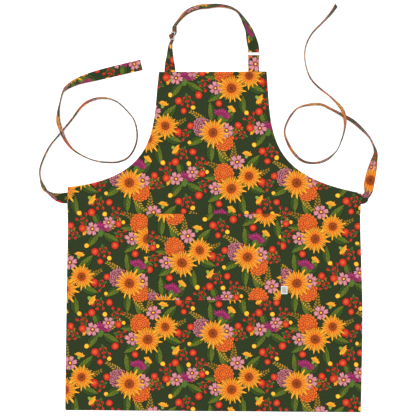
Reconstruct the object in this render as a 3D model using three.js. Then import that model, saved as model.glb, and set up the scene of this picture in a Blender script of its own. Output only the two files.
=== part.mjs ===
// A bib apron lying flat, face up, on a surface at z = 0. +Y points to the neck and +X to the viewer's right.
// Sizes are in millimetres.
import * as THREE from 'three';

// Cloth, tape and the gaps kept between sewn pieces and under a loose tape
const CLOTH = 1.2;
const HEM_THICK = 2.4;
const HEM_WIDTH = 9;
const HEM_STEP = 1.5;
const TAPE_WIDTH = 26;
const TAPE_THICK = 1.4;
const GAP = 0.3;
const SURFACE_GAP = 0.15;

// Outline of the panel: its six corners, the pull of each armhole curve and the bow of the skirt's sides
const BIB_LEFT = [-129, 325];
const BIB_RIGHT = [128, 326];
const WAIST_LEFT = [-347, 50];
const WAIST_RIGHT = [346, 37];
const HEM_LEFT = [-353, -483];
const HEM_RIGHT = [353, -488];
const ARMHOLE_LEFT_PULLS = [[-146, 209], [-116, 74]];
const ARMHOLE_RIGHT_PULLS = [[140, 178], [126, 81]];
const SIDE_LEFT_BOW = [[-348, 10], [-347, -60], [-350, -220]];
const SIDE_RIGHT_BOW = [[352.5, 10], [352, -48], [357, -260]];
const CORNER_FADE = 110;

// Rings of the panel from its edge inwards: the turned hem, then the cloth that eases down from the sewn tapes
const PANEL_RINGS = [
  { inset: 0, thick: HEM_THICK },
  { inset: HEM_WIDTH, thick: HEM_THICK },
  { inset: HEM_WIDTH + HEM_STEP, thick: CLOTH },
  { inset: 22, thick: CLOTH },
  { inset: 44, thick: CLOTH },
];

// How far a tape's end is sewn in behind the panel, and how the cloth rides over it
const SEWN_DEPTH = 20;
const RIDE_REACH = 9;
const RIDE_FALL = 14;

// Patch pocket, with a mouth that stands a little open
const POCKET = { left: -156, right: 162, bottom: -220, top: -14 };
const POCKET_HEM = 20;
const POCKET_HEM_THICK = 2.2;
const POCKET_HEM_STEP = 1.2;
const POCKET_OPEN = 6.6;
const POCKET_COLUMNS = 16;
const POCKET_ROWS = 8;

// Tag sewn into the pocket's right seam
const LABEL = { width: 15.5, height: 19, thick: 1, bottom: -205.6 };

// Three-bar slider on the neck strap's left leg, standing nearly on edge with the strap
const SLIDER_AT = [-97, 410];
const SLIDER_TURN = 13;
const SLIDER_LEAN = 70;
const SLIDER_BAR = 2;
const SLIDER_PITCH = 8.5;
const SLIDER_STEP = 11;
const SLIDER_RAIL = 2.4;
const SLIDER_BEVEL = 0.4;
const LOOP_RADIUS = 2.4;
const LOOP_WRAP = 215;

// Rectangular wire ring at the neck strap's right end
const RING_AT = [97, 374];
const RING_WIRE = 2;
const RING_PITCH = 11.5;
const RING_CORNER = 1.6;
const RING_TURN_RADIUS = RING_WIRE / 2 + GAP + TAPE_THICK / 2 + 0.05;
const RING_HEIGHT = RING_TURN_RADIUS + TAPE_THICK / 2 + SURFACE_GAP;

// Spacing of the two plies where a tape is doubled
const PLY_PITCH = TAPE_THICK + GAP;

// Neck strap below and above the slider. lean is 0 where the tape lies flat and 90 where it stands on edge,
// lift raises it off the surface, half is half the spacing of its two plies, and slip is how far the lower ply
// shows past the upper one at the raised edge.
const NECK_LOWER = [
  { x: -103, y: 305, lean: 0, lift: 0 },
  { x: -103, y: 326, lean: 0, lift: 0 },
  { x: -103, y: 338, lean: 18, lift: 0 },
  { x: -103, y: 352, lean: 42, lift: 0.5 },
  { x: -102.6, y: 368, lean: 57, lift: 1.5 },
];
const NECK_UPPER = [
  { x: -82.5, y: 446, lean: 75, lift: 1.2, half: PLY_PITCH / 2, slip: 1.5 },
  { x: -63, y: 466.8, lean: 67, lift: 0, half: PLY_PITCH / 2, slip: 3 },
  { x: -37.5, y: 478.4, lean: 64, lift: 0, half: PLY_PITCH / 2, slip: 3 },
  { x: -13, y: 481.2, lean: 64, lift: 0, half: PLY_PITCH / 2, slip: 2.5 },
  { x: 13, y: 482.6, lean: 70, lift: 0, half: PLY_PITCH / 2, slip: 1.5 },
  { x: 38, y: 478.8, lean: 74, lift: 0, half: PLY_PITCH / 2, slip: 1 },
  { x: 56.7, y: 469.7, lean: 78, lift: 0, half: PLY_PITCH / 2, slip: 0 },
  { x: 68.5, y: 456.2, lean: 74, lift: 0, half: PLY_PITCH / 2, slip: 1 },
  { x: 78.4, y: 440.2, lean: 63, lift: 0, half: PLY_PITCH / 2, slip: 3 },
  { x: 87, y: 423.5, lean: 53, lift: 0, half: 0.95, slip: 3 },
  { x: 92.2, y: 405.4, lean: 38, lift: 0, half: 1.2, slip: 3 },
  { x: 95.5, y: 390, lean: 18, lift: 0, half: 1.7, slip: 1 },
  { x: 97, y: 380, lean: 0, lift: 0.2, half: RING_TURN_RADIUS, slip: 0 },
  { x: 97, y: 374, lean: 0, lift: 0, half: RING_TURN_RADIUS, slip: 0 },
];

// How the strap threads the slider: the front ply goes behind both outer bars and over the middle one,
// and the back ply comes down behind it to the loop on the middle bar. The offsets lie along the tape's face.
const THREAD_FRONT = [
  { along: -22, offset: 0 },
  { along: -14, offset: -1.1 },
  { along: -8.5, offset: -2.3 },
  { along: -6.2, offset: -1.2 },
  { along: -3.3, offset: 2.55 },
  { along: 0, offset: 4.2 },
  { along: 3.3, offset: 2.55 },
  { along: 6.2, offset: -1.2 },
  { along: 8.5, offset: -2.3 },
  { along: 14, offset: -1.1 },
  { along: 22, offset: PLY_PITCH / 2 },
];
const THREAD_BACK = [
  { along: 22, offset: -PLY_PITCH / 2 },
  { along: 14, offset: -2.9 },
  { along: 8.5, offset: -4.15 },
  { along: 5, offset: -3.6 },
  { along: 2.4, offset: -2.75 },
  { along: 0, offset: -LOOP_RADIUS },
];

// Tab that holds the ring: where its lower ply leaves the surface, and how many plies high its upper ply lies
// on the way from the ring to the bib
const TAB_LEAVE = 345;
const TAB_RISE = [
  { y: 354, plies: 1.75 },
  { y: 344, plies: 1.2 },
  { y: 334, plies: 1 },
];

// Free waist ties from the sewn end to the loose end, in the same columns. Each crosses over itself once.
const TIE_LEFT = [
  { x: -327, y: 24, lean: 0, lift: 0 },
  { x: -347, y: 24, lean: 0, lift: 0 },
  { x: -362, y: 24, lean: 26, lift: 0 },
  { x: -378, y: 28.5, lean: 54, lift: 0 },
  { x: -393, y: 37, lean: 75, lift: 0 },
  { x: -404, y: 49, lean: 66, lift: 0 },
  { x: -411.5, y: 70, lean: 79, lift: 0 },
  { x: -412, y: 94, lean: 78, lift: 0 },
  { x: -402, y: 122.5, lean: 77, lift: 0 },
  { x: -387.5, y: 149.5, lean: 78, lift: 0 },
  { x: -361, y: 181.5, lean: 77, lift: 0 },
  { x: -334, y: 214.5, lean: 76, lift: 0 },
  { x: -316, y: 239, lean: 74, lift: 0 },
  { x: -296, y: 254.5, lean: 72, lift: 0 },
  { x: -264, y: 262.5, lean: 77, lift: 0 },
  { x: -232, y: 255, lean: 84, lift: 0 },
  { x: -207, y: 234, lean: 86, lift: 0 },
  { x: -187.5, y: 208.5, lean: 87, lift: 0 },
  { x: -180.5, y: 176, lean: 86, lift: 0 },
  { x: -185.5, y: 146.5, lean: 86, lift: 0 },
  { x: -201, y: 121.5, lean: 86, lift: 0 },
  { x: -224, y: 110, lean: 85, lift: 0 },
  { x: -249, y: 108.5, lean: 85, lift: 0 },
  { x: -277, y: 111.5, lean: 86, lift: 1.5 },
  { x: -305, y: 121.5, lean: 86, lift: 8 },
  { x: -331, y: 137.5, lean: 81, lift: 17.5 },
  { x: -349, y: 159.5, lean: 73, lift: 25.5 },
  { x: -360, y: 185, lean: 68, lift: 28 },
  { x: -367, y: 208, lean: 66, lift: 22.5 },
  { x: -367.5, y: 231, lean: 74, lift: 12 },
  { x: -363.5, y: 254.5, lean: 80, lift: 4 },
  { x: -357.5, y: 276, lean: 75, lift: 0.5 },
  { x: -345, y: 290, lean: 58, lift: 0 },
  { x: -320, y: 303, lean: 44, lift: 0 },
  { x: -285, y: 314, lean: 23, lift: 0 },
  { x: -235, y: 326.8, lean: 7, lift: 0 },
  { x: -171, y: 342, lean: 3, lift: 0 },
];
const TIE_RIGHT = [
  { x: 331, y: 22, lean: 0, lift: 0 },
  { x: 353, y: 22, lean: 0, lift: 0 },
  { x: 362, y: 25.5, lean: 44, lift: 0 },
  { x: 369.5, y: 36.5, lean: 42, lift: 0 },
  { x: 372.5, y: 56, lean: 13, lift: 0 },
  { x: 377.5, y: 82, lean: 20, lift: 0 },
  { x: 383.5, y: 110, lean: 45, lift: 0 },
  { x: 387.5, y: 132, lean: 66, lift: 0 },
  { x: 382, y: 150.5, lean: 76, lift: 0 },
  { x: 372.5, y: 168.5, lean: 76, lift: 0 },
  { x: 355, y: 188, lean: 70, lift: 0 },
  { x: 332.5, y: 207.5, lean: 66, lift: 0 },
  { x: 309, y: 221, lean: 70, lift: 0 },
  { x: 285, y: 234, lean: 73, lift: 0 },
  { x: 258, y: 246.5, lean: 74, lift: 0 },
  { x: 228, y: 246, lean: 76, lift: 0 },
  { x: 201, y: 237.5, lean: 83, lift: 0 },
  { x: 181, y: 213.5, lean: 83, lift: 0 },
  { x: 170, y: 183, lean: 86, lift: 0 },
  { x: 177, y: 157, lean: 82, lift: 0 },
  { x: 192, y: 131, lean: 79, lift: 0 },
  { x: 214.5, y: 111.5, lean: 81, lift: 0 },
  { x: 243, y: 107, lean: 82, lift: 0 },
  { x: 270, y: 115, lean: 78, lift: 3.5 },
  { x: 293.5, y: 136, lean: 85, lift: 12.5 },
  { x: 305.5, y: 163.5, lean: 82, lift: 22 },
  { x: 312, y: 190.5, lean: 78, lift: 27.5 },
  { x: 311.5, y: 214, lean: 69, lift: 28.5 },
  { x: 303.5, y: 237, lean: 69, lift: 25 },
  { x: 281, y: 262.5, lean: 78, lift: 14 },
  { x: 256.5, y: 283, lean: 77, lift: 5.5 },
  { x: 233.5, y: 307.5, lean: 78, lift: 1 },
  { x: 220.5, y: 343.5, lean: 83, lift: 0 },
  { x: 220, y: 380, lean: 83, lift: 0 },
  { x: 234, y: 413, lean: 85, lift: 0 },
  { x: 262, y: 443, lean: 83, lift: 0 },
  { x: 281, y: 464, lean: 77, lift: 0 },
  { x: 294, y: 483, lean: 70, lift: 0 },
];
const TIE_STEPS = 2;
const NECK_STEPS = 3;

// Colours: printed dark green cotton, off-white woven tag and nickel
const cotton = () => new THREE.MeshStandardMaterial({ color: 0x36452c, roughness: 0.9, metalness: 0 });
const tagCloth = () => new THREE.MeshStandardMaterial({ color: 0xf2efe8, roughness: 0.7, metalness: 0 });
const nickel = () => new THREE.MeshStandardMaterial({ color: 0xd5d2cd, roughness: 0.3, metalness: 1 });

const radians = THREE.MathUtils.degToRad;
const flat = ([x, y]) => new THREE.Vector2(x, y);

// A closed geometry from corner points and triangles, turned to face outwards
function closedBody(points, triangles) {
  let volume = 0;
  const cross = new THREE.Vector3();
  for (const [a, b, c] of triangles) {
    volume += cross.crossVectors(points[a], points[b]).dot(points[c]);
  }
  const facing = volume > 0 ? triangles : triangles.map(([a, b, c]) => [a, c, b]);
  const geometry = new THREE.BufferGeometry();
  geometry.setFromPoints(points);
  geometry.setIndex(facing.flat());
  geometry.computeVertexNormals();
  return geometry;
}

// The two triangles of a four-cornered face
const quad = (a, b, c, d) => [[a, b, c], [a, c, d]];

// A cloth sheet of nested rings of { x, y, under, over }, closed in the middle of the last ring
function ringSheet(rings) {
  const points = [];
  const triangles = [];
  const count = rings[0].length;
  for (const ring of rings) {
    for (const { x, y, over } of ring) points.push(new THREE.Vector3(x, y, over));
    for (const { x, y, under } of ring) points.push(new THREE.Vector3(x, y, under));
  }
  const over = (ring, i) => ring * 2 * count + (i % count);
  const under = (ring, i) => over(ring, i) + count;
  for (let i = 0; i < count; i++) {
    triangles.push(...quad(under(0, i), under(0, i + 1), over(0, i + 1), over(0, i)));
    for (let r = 0; r + 1 < rings.length; r++) {
      triangles.push(...quad(over(r, i), over(r, i + 1), over(r + 1, i + 1), over(r + 1, i)));
      triangles.push(...quad(under(r, i + 1), under(r, i), under(r + 1, i), under(r + 1, i + 1)));
    }
  }
  const last = rings.length - 1;
  const middle = rings[last].map(({ x, y }) => new THREE.Vector2(x, y));
  for (const [a, b, c] of THREE.ShapeUtils.triangulateShape(middle, [])) {
    triangles.push([over(last, a), over(last, b), over(last, c)]);
    triangles.push([under(last, a), under(last, c), under(last, b)]);
  }
  return closedBody(points, triangles);
}

// A cloth sheet on a grid of rows of { x, y, under, over }
function gridSheet(rows) {
  const points = [];
  const triangles = [];
  const wide = rows[0].length;
  for (const row of rows) {
    for (const { x, y, over } of row) points.push(new THREE.Vector3(x, y, over));
  }
  for (const row of rows) {
    for (const { x, y, under } of row) points.push(new THREE.Vector3(x, y, under));
  }
  const over = (j, i) => j * wide + i;
  const under = (j, i) => over(j, i) + rows.length * wide;
  const topRow = rows.length - 1;
  for (let j = 0; j < topRow; j++) {
    for (let i = 0; i + 1 < wide; i++) {
      triangles.push(...quad(over(j, i), over(j, i + 1), over(j + 1, i + 1), over(j + 1, i)));
      triangles.push(...quad(under(j, i + 1), under(j, i), under(j + 1, i), under(j + 1, i + 1)));
    }
    triangles.push(...quad(over(j + 1, 0), under(j + 1, 0), under(j, 0), over(j, 0)));
    triangles.push(...quad(over(j, wide - 1), under(j, wide - 1), under(j + 1, wide - 1), over(j + 1, wide - 1)));
  }
  for (let i = 0; i + 1 < wide; i++) {
    triangles.push(...quad(under(0, i), under(0, i + 1), over(0, i + 1), over(0, i)));
    triangles.push(...quad(over(topRow, i), over(topRow, i + 1), under(topRow, i + 1), under(topRow, i)));
  }
  return closedBody(points, triangles);
}

// A flat tape swept along stations of { at, across }: across is the way of its width
function tape(stations) {
  const points = [];
  const triangles = [];
  const count = stations.length;
  for (let i = 0; i < count; i++) {
    const before = stations[Math.max(i - 1, 0)].at;
    const after = stations[Math.min(i + 1, count - 1)].at;
    const along = after.clone().sub(before).normalize();
    const across = stations[i].across.clone().addScaledVector(along, -stations[i].across.dot(along)).normalize();
    const face = across.clone().cross(along);
    for (const [w, t] of [[1, 1], [-1, 1], [-1, -1], [1, -1]]) {
      const corner = stations[i].at.clone();
      corner.addScaledVector(across, w * TAPE_WIDTH / 2).addScaledVector(face, t * TAPE_THICK / 2);
      points.push(corner);
    }
  }
  for (let i = 0; i + 1 < count; i++) {
    for (let k = 0; k < 4; k++) {
      const next = (k + 1) % 4;
      triangles.push(...quad(4 * i + k, 4 * i + next, 4 * i + 4 + next, 4 * i + 4 + k));
    }
  }
  const end = 4 * (count - 1);
  triangles.push(...quad(3, 2, 1, 0), ...quad(end, end + 1, end + 2, end + 3));
  return closedBody(points, triangles);
}

// Stations of a tape that rests on the surface along a route. inner is 1 where its raised edge leans to
// the right of the way it runs and -1 where it leans to the left.
function routeStations(route, inner, steps) {
  const plan = new THREE.SplineCurve(route.map(({ x, y }) => new THREE.Vector2(x, y)));
  const column = (name) => new THREE.SplineCurve(route.map((row, i) => new THREE.Vector2(i, row[name] ?? 0)));
  const leans = column('lean');
  const lifts = column('lift');
  const halves = column('half');
  const slips = column('slip');
  const stations = [];
  const count = (route.length - 1) * steps;
  for (let i = 0; i <= count; i++) {
    const t = i / count;
    const place = plan.getPoint(t);
    const ahead = plan.getTangent(t);
    const lean = radians(Math.max(leans.getPoint(t).y, 0));
    const half = halves.getPoint(t).y;
    const side = new THREE.Vector3(ahead.y * inner, -ahead.x * inner, 0);
    const across = side.clone().multiplyScalar(Math.cos(lean));
    across.z = Math.sin(lean);
    const face = side.clone().multiplyScalar(-Math.sin(lean));
    face.z = Math.cos(lean);
    const rest = TAPE_WIDTH / 2 * Math.sin(lean) + (TAPE_THICK / 2 + half) * Math.cos(lean);
    const height = SURFACE_GAP + rest + Math.max(lifts.getPoint(t).y, 0);
    const at = new THREE.Vector3(place.x, place.y, height);
    stations.push({ at, across, face, half, slip: slips.getPoint(t).y });
  }
  return stations;
}

// Panel
const outlineEdges = [
  { curve: new THREE.LineCurve(flat(HEM_LEFT), flat(HEM_RIGHT)), count: 24, bunch: (t) => t },
  {
    curve: new THREE.SplineCurve([HEM_RIGHT, ...SIDE_RIGHT_BOW.toReversed(), WAIST_RIGHT].map(flat)),
    count: 26,
    bunch: (t) => 1 - (1 - t) ** 1.7,
  },
  {
    curve: new THREE.CubicBezierCurve(...[WAIST_RIGHT, ...ARMHOLE_RIGHT_PULLS.toReversed(), BIB_RIGHT].map(flat)),
    count: 30,
    bunch: (t) => t,
  },
  { curve: new THREE.LineCurve(flat(BIB_RIGHT), flat(BIB_LEFT)), count: 26, bunch: (t) => t },
  {
    curve: new THREE.CubicBezierCurve(...[BIB_LEFT, ...ARMHOLE_LEFT_PULLS, WAIST_LEFT].map(flat)),
    count: 30,
    bunch: (t) => t,
  },
  {
    curve: new THREE.SplineCurve([WAIST_LEFT, ...SIDE_LEFT_BOW, HEM_LEFT].map(flat)),
    count: 26,
    bunch: (t) => t ** 1.7,
  },
];

// The tapes sewn in behind the panel's edge, which the cloth rides over
const sewnEnds = [
  { x: NECK_LOWER[1].x, y: BIB_LEFT[1] - SEWN_DEPTH / 2, wide: TAPE_WIDTH, tall: SEWN_DEPTH, plies: 1 },
  { x: RING_AT[0], y: BIB_RIGHT[1] - SEWN_DEPTH / 2, wide: TAPE_WIDTH, tall: SEWN_DEPTH, plies: 2 },
  { x: TIE_LEFT[1].x + SEWN_DEPTH / 2, y: TIE_LEFT[1].y, wide: SEWN_DEPTH, tall: TAPE_WIDTH, plies: 1 },
  { x: TIE_RIGHT[1].x - SEWN_DEPTH / 2, y: TIE_RIGHT[1].y, wide: SEWN_DEPTH, tall: TAPE_WIDTH, plies: 1 },
];

function rideHeight(x, y) {
  let height = 0;
  for (const end of sewnEnds) {
    const beside = Math.max(Math.abs(x - end.x) - end.wide / 2, 0);
    const beyond = Math.max(Math.abs(y - end.y) - end.tall / 2, 0);
    const away = Math.hypot(beside, beyond);
    const share = THREE.MathUtils.clamp((RIDE_REACH + RIDE_FALL - away) / RIDE_FALL, 0, 1);
    height = Math.max(height, (end.plies * PLY_PITCH + GAP / 2) * share);
  }
  return height;
}

// How far a ring's point slides along its edge near a corner, for each millimetre of inset
function cornerSlide(edge, before, after, run) {
  const length = edge.getLength();
  const halfTurn = (first, second) => Math.tan(first.getTangentAt(1).angleTo(second.getTangentAt(0)) / 2);
  const fade = (away) => Math.max(0, 1 - away / CORNER_FADE) ** 2;
  return halfTurn(before, edge) * fade(run * length) - halfTurn(edge, after) * fade((1 - run) * length);
}

function panelRing({ inset, thick }) {
  const ring = [];
  outlineEdges.forEach(({ curve, count, bunch }, e) => {
    const before = outlineEdges.at(e - 1).curve;
    const after = outlineEdges[(e + 1) % outlineEdges.length].curve;
    for (let i = 0; i < count; i++) {
      const run = bunch(i / count);
      const place = curve.getPointAt(run);
      const ahead = curve.getTangentAt(run);
      const slide = cornerSlide(curve, before, after, run);
      const x = place.x + inset * (slide * ahead.x - ahead.y);
      const y = place.y + inset * (slide * ahead.y + ahead.x);
      const under = rideHeight(x, y);
      ring.push({ x, y, under, over: under + thick });
    }
  });
  return ring;
}

const panel = new THREE.Mesh(ringSheet(PANEL_RINGS.map(panelRing)), cotton());
panel.name = 'apron_panel';

// Pocket: flat on its three seams, standing open towards its mouth
function pocketRow(run) {
  const inHem = (1 - run) * (POCKET.top - POCKET.bottom) < POCKET_HEM;
  const row = [];
  for (let i = 0; i <= POCKET_COLUMNS; i++) {
    const u = 2 * i / POCKET_COLUMNS - 1;
    const under = CLOTH + GAP + POCKET_OPEN * (1 - u ** 4) * (1 - (1 - run) ** 3);
    row.push({
      x: THREE.MathUtils.lerp(POCKET.left, POCKET.right, (u + 1) / 2),
      y: THREE.MathUtils.lerp(POCKET.bottom, POCKET.top, run),
      under,
      over: under + (inHem ? POCKET_HEM_THICK : CLOTH),
    });
  }
  return row;
}

const pocketTall = POCKET.top - POCKET.bottom;
const hemStart = 1 - POCKET_HEM / pocketTall;
const hemFull = hemStart + POCKET_HEM_STEP / pocketTall;
const pocketRuns = Array.from({ length: POCKET_ROWS + 1 }, (_, j) => hemStart * j / POCKET_ROWS);
const pocket = new THREE.Mesh(gridSheet([...pocketRuns, hemFull, 1].map(pocketRow)), cotton());
pocket.name = 'pocket';

// Side label
const label = new THREE.Mesh(new THREE.BoxGeometry(LABEL.width, LABEL.height, LABEL.thick), tagCloth());
label.name = 'side_label';
label.position.set(
  POCKET.right + GAP + LABEL.width / 2,
  LABEL.bottom + LABEL.height / 2,
  CLOTH + GAP + LABEL.thick / 2,
);

// Neck strap: the slider's straight stretch joins the two parts of its route
const sliderAhead = new THREE.Vector2(Math.sin(radians(SLIDER_TURN)), Math.cos(radians(SLIDER_TURN)));
const sliderLift = (SLIDER_RAIL + GAP * 2) * Math.sin(radians(SLIDER_LEAN));
const sliderRows = [-2, -1, 0, 1, 2].map((k) => ({
  x: SLIDER_AT[0] + k * SLIDER_STEP * sliderAhead.x,
  y: SLIDER_AT[1] + k * SLIDER_STEP * sliderAhead.y,
  lean: SLIDER_LEAN,
  lift: sliderLift + LOOP_RADIUS * Math.cos(radians(SLIDER_LEAN)),
}));
const sliderBase = routeStations([...NECK_LOWER, ...sliderRows, ...NECK_UPPER], 1, NECK_STEPS);
const sliderStart = NECK_LOWER.length * NECK_STEPS;
const sliderEnd = sliderStart + 4 * NECK_STEPS;
const sliderMiddle = sliderBase[sliderStart + 2 * NECK_STEPS];
const sliderAlong = new THREE.Vector3(sliderAhead.x, sliderAhead.y, 0);

// A station at a place in the slider's own plane
function sliderStation(along, offset) {
  const at = sliderMiddle.at.clone().addScaledVector(sliderAlong, along).addScaledVector(sliderMiddle.face, offset);
  return { at, across: sliderMiddle.across };
}

function threadStations(thread, steps) {
  const curve = new THREE.SplineCurve(thread.map(({ along, offset }) => new THREE.Vector2(along, offset)));
  return curve.getPoints((thread.length - 1) * steps).map(({ x, y }) => sliderStation(x, y));
}

// A half turn of the tape round a bar, from one side of it to the other
function turnStations({ at, ahead, face, across, radius, from, to, steps }) {
  return Array.from({ length: steps + 1 }, (_, i) => {
    const angle = radians(THREE.MathUtils.lerp(from, to, i / steps));
    const place = at.clone().addScaledVector(ahead, radius * Math.sin(angle));
    return { at: place.addScaledVector(face, radius * Math.cos(angle)), across };
  });
}

const upperPly = (stations) => stations.map(({ at, across, face, half }) => (
  { at: at.clone().addScaledVector(face, half), across }
));
const lowerPly = (stations) => stations.map(({ at, across, face, half, slip }) => (
  { at: at.clone().addScaledVector(face, -half).addScaledVector(across, slip), across }
));

const upperStations = sliderBase.slice(sliderEnd + 1);
const right = new THREE.Vector3(1, 0, 0);
const up = new THREE.Vector3(0, 0, 1);
const towardBib = new THREE.Vector3(0, -1, 0);
const ringBar = new THREE.Vector3(RING_AT[0], RING_AT[1], RING_HEIGHT);
const ringTurn = turnStations({
  at: ringBar, ahead: towardBib, face: up, across: right.clone().negate(),
  radius: RING_TURN_RADIUS, from: 0, to: 180, steps: 8,
});
const sliderLoop = turnStations({
  at: sliderMiddle.at, ahead: sliderAlong.clone().negate(), face: sliderMiddle.face.clone().negate(),
  across: sliderMiddle.across, radius: LOOP_RADIUS, from: 0, to: LOOP_WRAP, steps: 12,
});
const neckStations = [
  ...sliderBase.slice(0, sliderStart),
  ...threadStations(THREAD_FRONT, 2),
  ...upperPly(upperStations).slice(0, -1),
  ...ringTurn,
  ...lowerPly(upperStations).slice(0, -1).reverse(),
  ...threadStations(THREAD_BACK, 2).slice(0, -1),
  ...sliderLoop,
];
const neckStrap = new THREE.Mesh(tape(neckStations), cotton());
neckStrap.name = 'neck_strap';

// Slider: a plate with two slots, so three bars and two rails
function rectanglePath(x0, y0, x1, y1) {
  return new THREE.Path([[x0, y0], [x1, y0], [x1, y1], [x0, y1]].map(flat));
}

function sliderGeometry() {
  const slotHalf = TAPE_WIDTH / 2 + GAP * 2;
  const halfWide = slotHalf + SLIDER_RAIL - SLIDER_BEVEL;
  const halfLong = SLIDER_PITCH + SLIDER_BAR / 2 - SLIDER_BEVEL;
  const plate = new THREE.Shape(rectanglePath(-halfWide, -halfLong, halfWide, halfLong).getPoints());
  const slotNear = SLIDER_BAR / 2;
  const slotFar = SLIDER_PITCH - SLIDER_BAR / 2;
  plate.holes.push(rectanglePath(-slotHalf, slotNear, slotHalf, slotFar));
  plate.holes.push(rectanglePath(-slotHalf, -slotFar, slotHalf, -slotNear));
  return new THREE.ExtrudeGeometry(plate, {
    depth: SLIDER_BAR - 2 * SLIDER_BEVEL, bevelEnabled: true, bevelThickness: SLIDER_BEVEL,
    bevelSize: SLIDER_BEVEL, bevelOffset: 0, bevelSegments: 2,
  }).translate(0, 0, SLIDER_BEVEL - SLIDER_BAR / 2);
}

const slider = new THREE.Mesh(sliderGeometry(), nickel());
slider.name = 'strap_slider';
slider.position.copy(sliderMiddle.at);
slider.quaternion.setFromRotationMatrix(
  new THREE.Matrix4().makeBasis(sliderMiddle.across, sliderAlong, sliderMiddle.across.clone().cross(sliderAlong)),
);

// Ring: round wire bent to a rectangle with rounded corners
function ringGeometry() {
  const half = TAPE_WIDTH / 2 + GAP * 2 + RING_WIRE / 2;
  const long = RING_PITCH / 2;
  const wire = new THREE.Path();
  wire.moveTo(0, -long);
  wire.lineTo(half - RING_CORNER, -long);
  wire.absarc(half - RING_CORNER, -long + RING_CORNER, RING_CORNER, -Math.PI / 2, 0);
  wire.absarc(half - RING_CORNER, long - RING_CORNER, RING_CORNER, 0, Math.PI / 2);
  wire.absarc(-half + RING_CORNER, long - RING_CORNER, RING_CORNER, Math.PI / 2, Math.PI);
  wire.absarc(-half + RING_CORNER, -long + RING_CORNER, RING_CORNER, Math.PI, 1.5 * Math.PI);
  wire.lineTo(0, -long);
  const round = wire.getSpacedPoints(44).slice(0, -1).map(({ x, y }) => new THREE.Vector3(x, y, 0));
  return new THREE.TubeGeometry(new THREE.CatmullRomCurve3(round, true), 44, RING_WIRE / 2, 8, true);
}

const ring = new THREE.Mesh(ringGeometry(), nickel());
ring.name = 'strap_ring';
ring.position.set(RING_AT[0], RING_AT[1] - RING_PITCH / 2, RING_HEIGHT);

// Ring tab: a short tape folded round the ring's lower bar, both ends sewn in behind the bib
const tabBar = ringBar.clone().setY(RING_AT[1] - RING_PITCH);
const tabFoot = BIB_RIGHT[1] - SEWN_DEPTH;
const tabStation = (y, z) => ({ at: new THREE.Vector3(RING_AT[0], y, z), across: right });
const lowPly = TAPE_THICK / 2 + SURFACE_GAP;
const tabStations = [
  ...[tabFoot, BIB_RIGHT[1], TAB_LEAVE].map((y) => tabStation(y, lowPly)),
  ...turnStations({
    at: tabBar, ahead: towardBib.clone().negate(), face: up.clone().negate(), across: right,
    radius: RING_TURN_RADIUS, from: 0, to: 180, steps: 8,
  }),
  ...TAB_RISE.map(({ y, plies }) => tabStation(y, lowPly + plies * PLY_PITCH)),
  tabStation(tabFoot, lowPly + PLY_PITCH),
];
const ringTab = new THREE.Mesh(tape(tabStations), cotton());
ringTab.name = 'ring_tab';

// Waist ties
const ties = [
  { name: 'waist_tie_left', route: TIE_LEFT, inner: 1 },
  { name: 'waist_tie_right', route: TIE_RIGHT, inner: -1 },
].map(({ name, route, inner }) => {
  const tie = new THREE.Mesh(tape(routeStations(route, inner, TIE_STEPS)), cotton());
  tie.name = name;
  return tie;
});

const apron = new THREE.Group();
apron.name = 'apron';
apron.add(panel, pocket, label, neckStrap, slider, ring, ringTab, ...ties);

export default apron;
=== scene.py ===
"""The looks of a bib apron that lies flat and face up: printed cotton, tapes, stitching and fittings."""
import math

import bmesh
import bpy
import numpy as np
from mathutils.geometry import delaunay_2d_cdt
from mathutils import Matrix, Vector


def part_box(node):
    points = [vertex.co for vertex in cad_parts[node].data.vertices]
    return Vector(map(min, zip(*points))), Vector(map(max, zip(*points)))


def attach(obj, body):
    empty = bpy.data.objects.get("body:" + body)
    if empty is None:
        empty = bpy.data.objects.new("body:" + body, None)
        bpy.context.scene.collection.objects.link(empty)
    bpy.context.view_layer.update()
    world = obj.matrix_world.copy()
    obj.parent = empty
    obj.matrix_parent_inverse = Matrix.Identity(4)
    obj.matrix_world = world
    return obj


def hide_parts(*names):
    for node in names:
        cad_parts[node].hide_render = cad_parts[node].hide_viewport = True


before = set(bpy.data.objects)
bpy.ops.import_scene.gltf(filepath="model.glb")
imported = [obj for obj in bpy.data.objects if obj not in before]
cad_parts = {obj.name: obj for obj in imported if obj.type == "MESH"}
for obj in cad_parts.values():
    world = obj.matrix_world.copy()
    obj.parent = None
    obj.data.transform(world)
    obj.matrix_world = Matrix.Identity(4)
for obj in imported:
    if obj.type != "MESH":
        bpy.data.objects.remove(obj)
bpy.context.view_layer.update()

bl_info = {
    "name": "Bib Apron",
    "version": (1, 0, 0),
    "blender": (4, 5, 0),
    "location": "3D View > Sidebar > Apron",
    "description": "Builds a printed bib apron with its tapes, stitching and fittings around its solids",
    "category": "Add Mesh",
}

MM = 0.001
BODY = "root"
CLOTH_MAP = "Cloth"

# Outline of the panel in metres: its six corners, the pull of each armhole and the bow of the skirt's sides
BIB_LEFT = (-0.129, 0.325)
BIB_RIGHT = (0.128, 0.326)
WAIST_LEFT = (-0.347, 0.050)
WAIST_RIGHT = (0.346, 0.037)
HEM_LEFT = (-0.353, -0.483)
HEM_RIGHT = (0.353, -0.488)
ARMHOLE_LEFT_PULLS = ((-0.146, 0.209), (-0.116, 0.074))
ARMHOLE_RIGHT_PULLS = ((0.140, 0.178), (0.126, 0.081))
SIDE_LEFT_BOW = ((-0.348, 0.010), (-0.347, -0.060), (-0.350, -0.220))
SIDE_RIGHT_BOW = ((0.3525, 0.010), (0.352, -0.048), (0.357, -0.260))
CORNER_FADE = 0.11

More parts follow.
